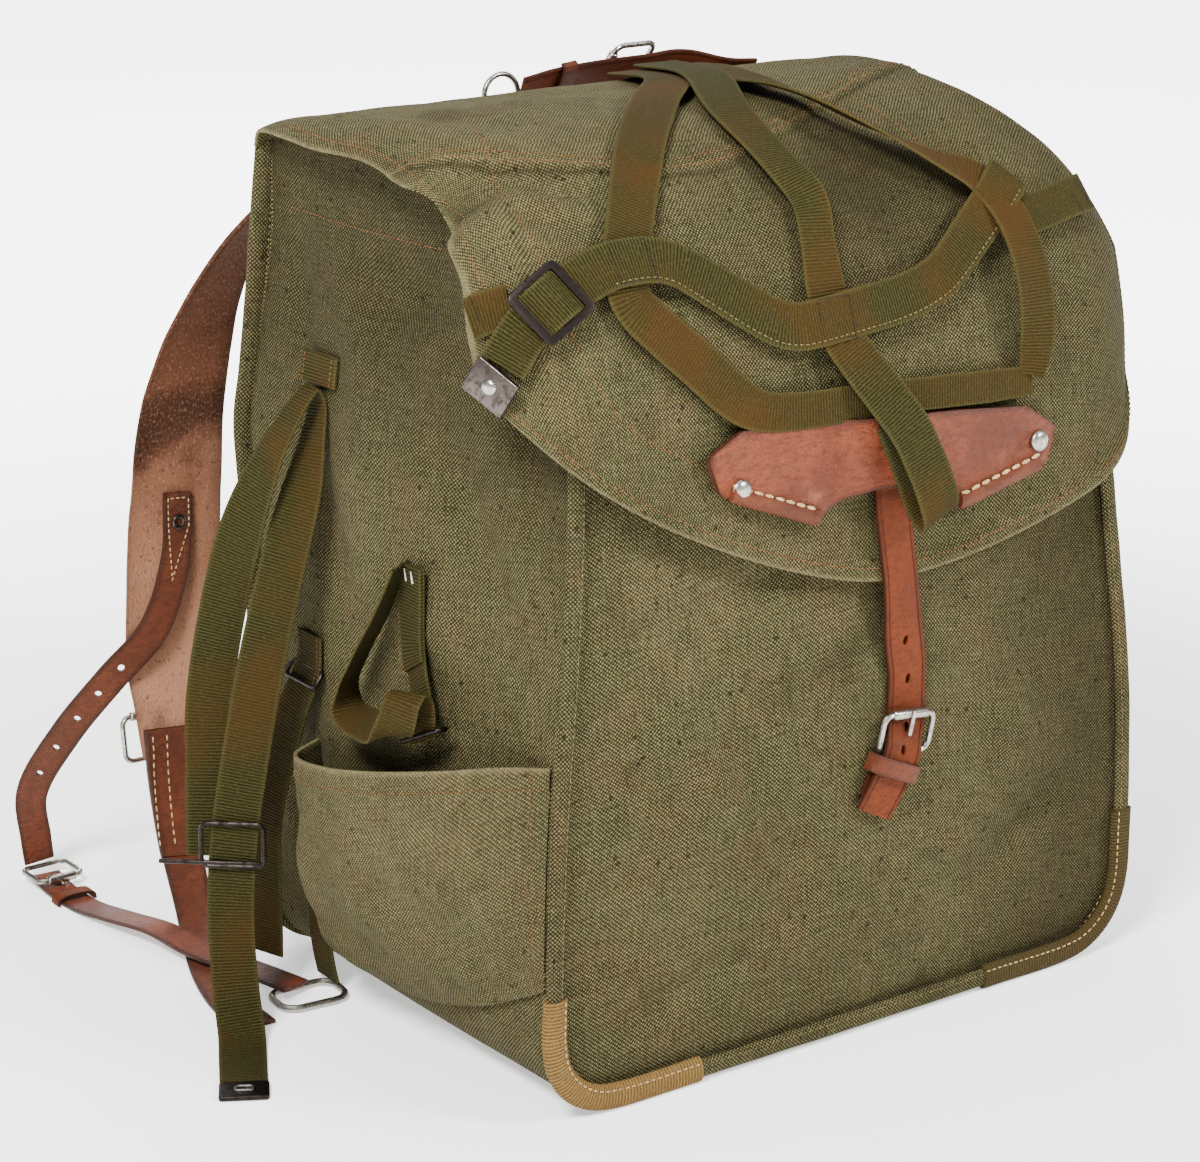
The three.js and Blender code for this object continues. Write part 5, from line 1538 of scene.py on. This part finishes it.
for label, sign in sides:
    def spot(x, y, z):  # a point or a direction, turned over for the left
        return Vector((sign * x, y, z))

    def pocketCloth(u, v):
        return pocketPoint(sign, u, v)

    pocketPiece = clothPiece("pocket_cloth_" + label, pocketCloth, 64, 48, bag["wall"], pocketWear)
    finishPiece(pocketPiece, "canvas", ["pocket_" + label])
    frontEdge = [(pocketPoint(sign, 0.12, k / 30, 0.3), Vector((sign, -0.4, 0))) for k in range(2, 31)]
    runs = [(pocketLine(sign, 11), 3.4, 2.5, 0.7), (frontEdge, 3.4, 2.5, 0.6)]
    sew("pocket_stitches_" + label, runs, "rust")

    frames = {}
    for name, (usual, thick, section, wave, look, slot) in looseMake.items():
        frames[name] = strapFrames(freeStations(loose[name], sign, usual))
        piece = strapPiece(name + "_band_" + label, frames[name], thick, section, wave)
        if name == "steady_strap":
            holes = [frames[name][int(share * len(frames[name]))] for share in strapDetail["holes"]]
            punchHoles(piece, [(at, side.cross(face), face) for at, side, face, width in holes], 4, 4)
        finishPiece(piece, look, [name + "_" + label])

    tabUp, tabSide = spot(-0.16, 0, 1).normalized(), spot(-0.12, -1, 0).normalized()
    tabAt = spot(*strapDetail["tabAt"])
    tab = strapFrames([(tabAt + tabUp * rise, tabSide, 30) for rise in strapDetail["tabRises"]])
    addStrap("side_tab_web_" + label, tab, 2, "web", "web", ["side_tab_" + label])

    for name, (maker, size, middle, right, up, finish, node) in sideMetal.items():
        parts = maker(*size)
        if name == "side_slide_wire":
            parts.append(rod(*strapDetail["slideBar"]))
        flip = Vector((1 if maker is rollerBuckle else sign, 1, 1))  # buckles show one face on both sides
        nodes = [node + "_" + label] if node else ()
        right, up = Vector(right) * flip, Vector(up) * flip
        fitMetal(name + "_" + label, parts, spot(*middle), right, up, finish, nodes)

    folded = [(x + 1.75, *others) for x, *others in loose["pocket_strap"][:3]]
    fold = strapFrames(freeStations(folded, sign, looseMake["pocket_strap"][0]))
    fold = fold[:int(len(fold) * strapDetail["fold"])]
    addStrap("pocket_fold_web_" + label, fold, 1.6, "web", "web")
    prongs = [rod(spot(200, y, 258), spot(200.4, y + 1, 264.5), 1.5) for y in (-20, -26)]
    finishPiece(gather(prongs, "pocket_staple_" + label), "nickel")
    fitMetal("lower_loop_wire_" + label, wireLoop(*strapDetail["lowLoop"]),
             spot(*strapDetail["lowLoopAt"]), yAxis, spot(0.6, 0, -0.8), "steel")

    chape = [(at, side, face, width + 1.4) for at, side, face, width in frames["strap_end"]]
    chape = chape[:int(len(chape) * strapDetail["chape"])]
    addStrap("strap_chape_leather_" + label, chape, 4.4, "plain", "dark")
    overEnd = [(spot(253.4 + across, 262, lift), yAxis, 9) for across, lift in strapDetail["keeper"]]
    addStrap("steady_keeper_leather_" + label, strapFrames(overEnd, 1.5), 1.8, "plain", "tan")
    steady = frames["steady_strap"]
    at, side, face, width = steady[int(strapDetail["eyelet"] * len(steady))]
    outward = face if face.y < 0 else -face
    fitMetal("steady_eyelet_" + label, [ringOf(*strapDetail["eyeletRing"])],
             at + outward * 1.3, side, outward.cross(side), "dull")

    upper = facing(steady, -yAxis, 0, 1.5, 0, 0.2)
    vee = []
    for aside, share in ((-6.5, 0.06), (-6.5, 0.4), (0, 1), (6.5, 0.4), (6.5, 0.06), (-6.5, 0.06)):
        at, normal = upper[int(share * (len(upper) - 1))]
        vee.append((at + steady[0][1] * aside, normal))
    runs = []
    for aside in (13, -13, 4):
        runs.append((facing(chape, -yAxis, aside, 2.4, 0.04, 0.96), *strapDetail["leatherStitch"]))
    sew("leather_stitches_" + label, runs + [(vee, 3.6, 2.8, 0.9)], "cream")

    outward = xAxis * sign
    runs = [(facing(tab, outward, aside, 1.2, 0, 1), *strapDetail["webStitch"]) for aside in (11, -11)]
    for aside in (9, -9):
        runs.append((facing(frames["lower_web"], outward, aside, 0.95, 0, 0.16), *strapDetail["webStitch"]))
    hem = [(sideCloth(sign, k / 40, 425 - 4 * (1 - k / 40), 0.2), outward) for k in range(16, 39)]
    sew("side_stitches_" + label, runs + [(hem, 3.4, 2.5, 0.7)], "rust")
print("side pieces made")

# Top of the back

neck = {
    # x, y, z and pitch of the width
    "line": [
        (-22, 137, 463, 60), (4, 138, 467, 55), (54, 139, 469, 50), (84, 135, 470, 50),
        (104, 124.4, 465.6, 47), (124, 122, 463.4, 47),
    ],
    "width": 22, "thick": 2.4, "buckle": (30, 26), "ring": (22, 3, 40, 12),
    "keeperAt": 0.2, "keeper": [(-12.6, -1), (-12.4, 1.8), (-10, 3), (10, 3), (12.4, 1.8), (12.6, -1)],
    "tab": [(-35, 137.5, 456), (-35, 134.6, 451), (-35, 131, 445), (-35, 129, 434), (-35, 128.6, 424)],
}
yoke = {
    "half": 56, "low": 376, "high": 416, "thick": 3, "bridge": 6, "stitch": (5, 4, 1.1),
    "border": [(0.05, 0.1), (0.95, 0.1), (0.95, 0.9), (0.05, 0.9), (0.05, 0.1)],
}


def yokeSurface(u, v):
    lift = yoke["thick"] + 0.6 + yoke["bridge"] * clamp(v * 2) + 0.4 * ripple(u * 112, v * 40, 3, 16)
    return onBack(between(-yoke["half"], yoke["half"], u), between(yoke["low"], yoke["high"], v), lift)


yokePiece = clothPiece("yoke_leather", yokeSurface, 60, 24, yoke["thick"], patchWear)
finishPiece(yokePiece, "dark", ["yoke_patch"])
path = []
for (a, b), (c, d) in zip(yoke["border"], yoke["border"][1:]):
    for t in range(20):
        at = yokeSurface(between(a, c, t / 20), between(b, d, t / 20))
        path.append((at + yAxis * 0.3, yAxis))
sew("yoke_stitches", [(path, *yoke["stitch"])], "cream")

stations = []
for x, y, z, pitch in neck["line"]:
    pitch = math.radians(pitch)
    stations.append((Vector((x, y, z)), Vector((0, -math.cos(pitch), math.sin(pitch))), neck["width"]))
neckFrames = strapFrames(stations)
addStrap("neck_leather", neckFrames, neck["thick"], "leather", "tan", ["neck_strap"], 0.2)
at, side, face, width = neckFrames[int(neck["keeperAt"] * len(neckFrames))]
overNeck = [(at + side * across + face * lift, side.cross(face), 10) for across, lift in neck["keeper"]]
addStrap("neck_keeper_leather", strapFrames(overNeck, 1.5), 1.8, "plain", "dark")
tabLine = [(Vector(place), xAxis, 15) for place in neck["tab"]]
addStrap("neck_tab_web", strapFrames(tabLine, 2), 1.6, "web", "web")
fitMetal("neck_buckle_metal", rollerBuckle(*neck["buckle"]),
         Vector((54, 143.6, 472)), Vector((0, -0.64, 0.77)), -xAxis, "nickel", ["neck_buckle"])
fitMetal("neck_ring_wire", [ringOf(*neck["ring"])], Vector((-35, 137, 464)), xAxis, zAxis, "nickel",
         ["neck_ring"])

# Sewing along the welts and corner tapes

edgeSewing = {  # lines beside the middle and above it, then the stitch
    "welt": [(frontFrames, -2.6, 2.5), (backFrames, -3.4, 3.3)], "weltStitch": (3.6, 2.6, 0.7),
    "tape": [(run, -4.2, 3.4) for run in tapeFrames], "tapeStitch": (4, 3, 0.9),
}


def bothFaces(lines, stitch):
    return [(alongEdge(run, aside, lift * hand), *stitch) for run, aside, lift in lines for hand in (1, -1)]


sew("welt_stitches", bothFaces(edgeSewing["welt"], edgeSewing["weltStitch"]), "straw")
sew("tape_stitches", bothFaces(edgeSewing["tape"], edgeSewing["tapeStitch"]), "cream")
print("sewing made")
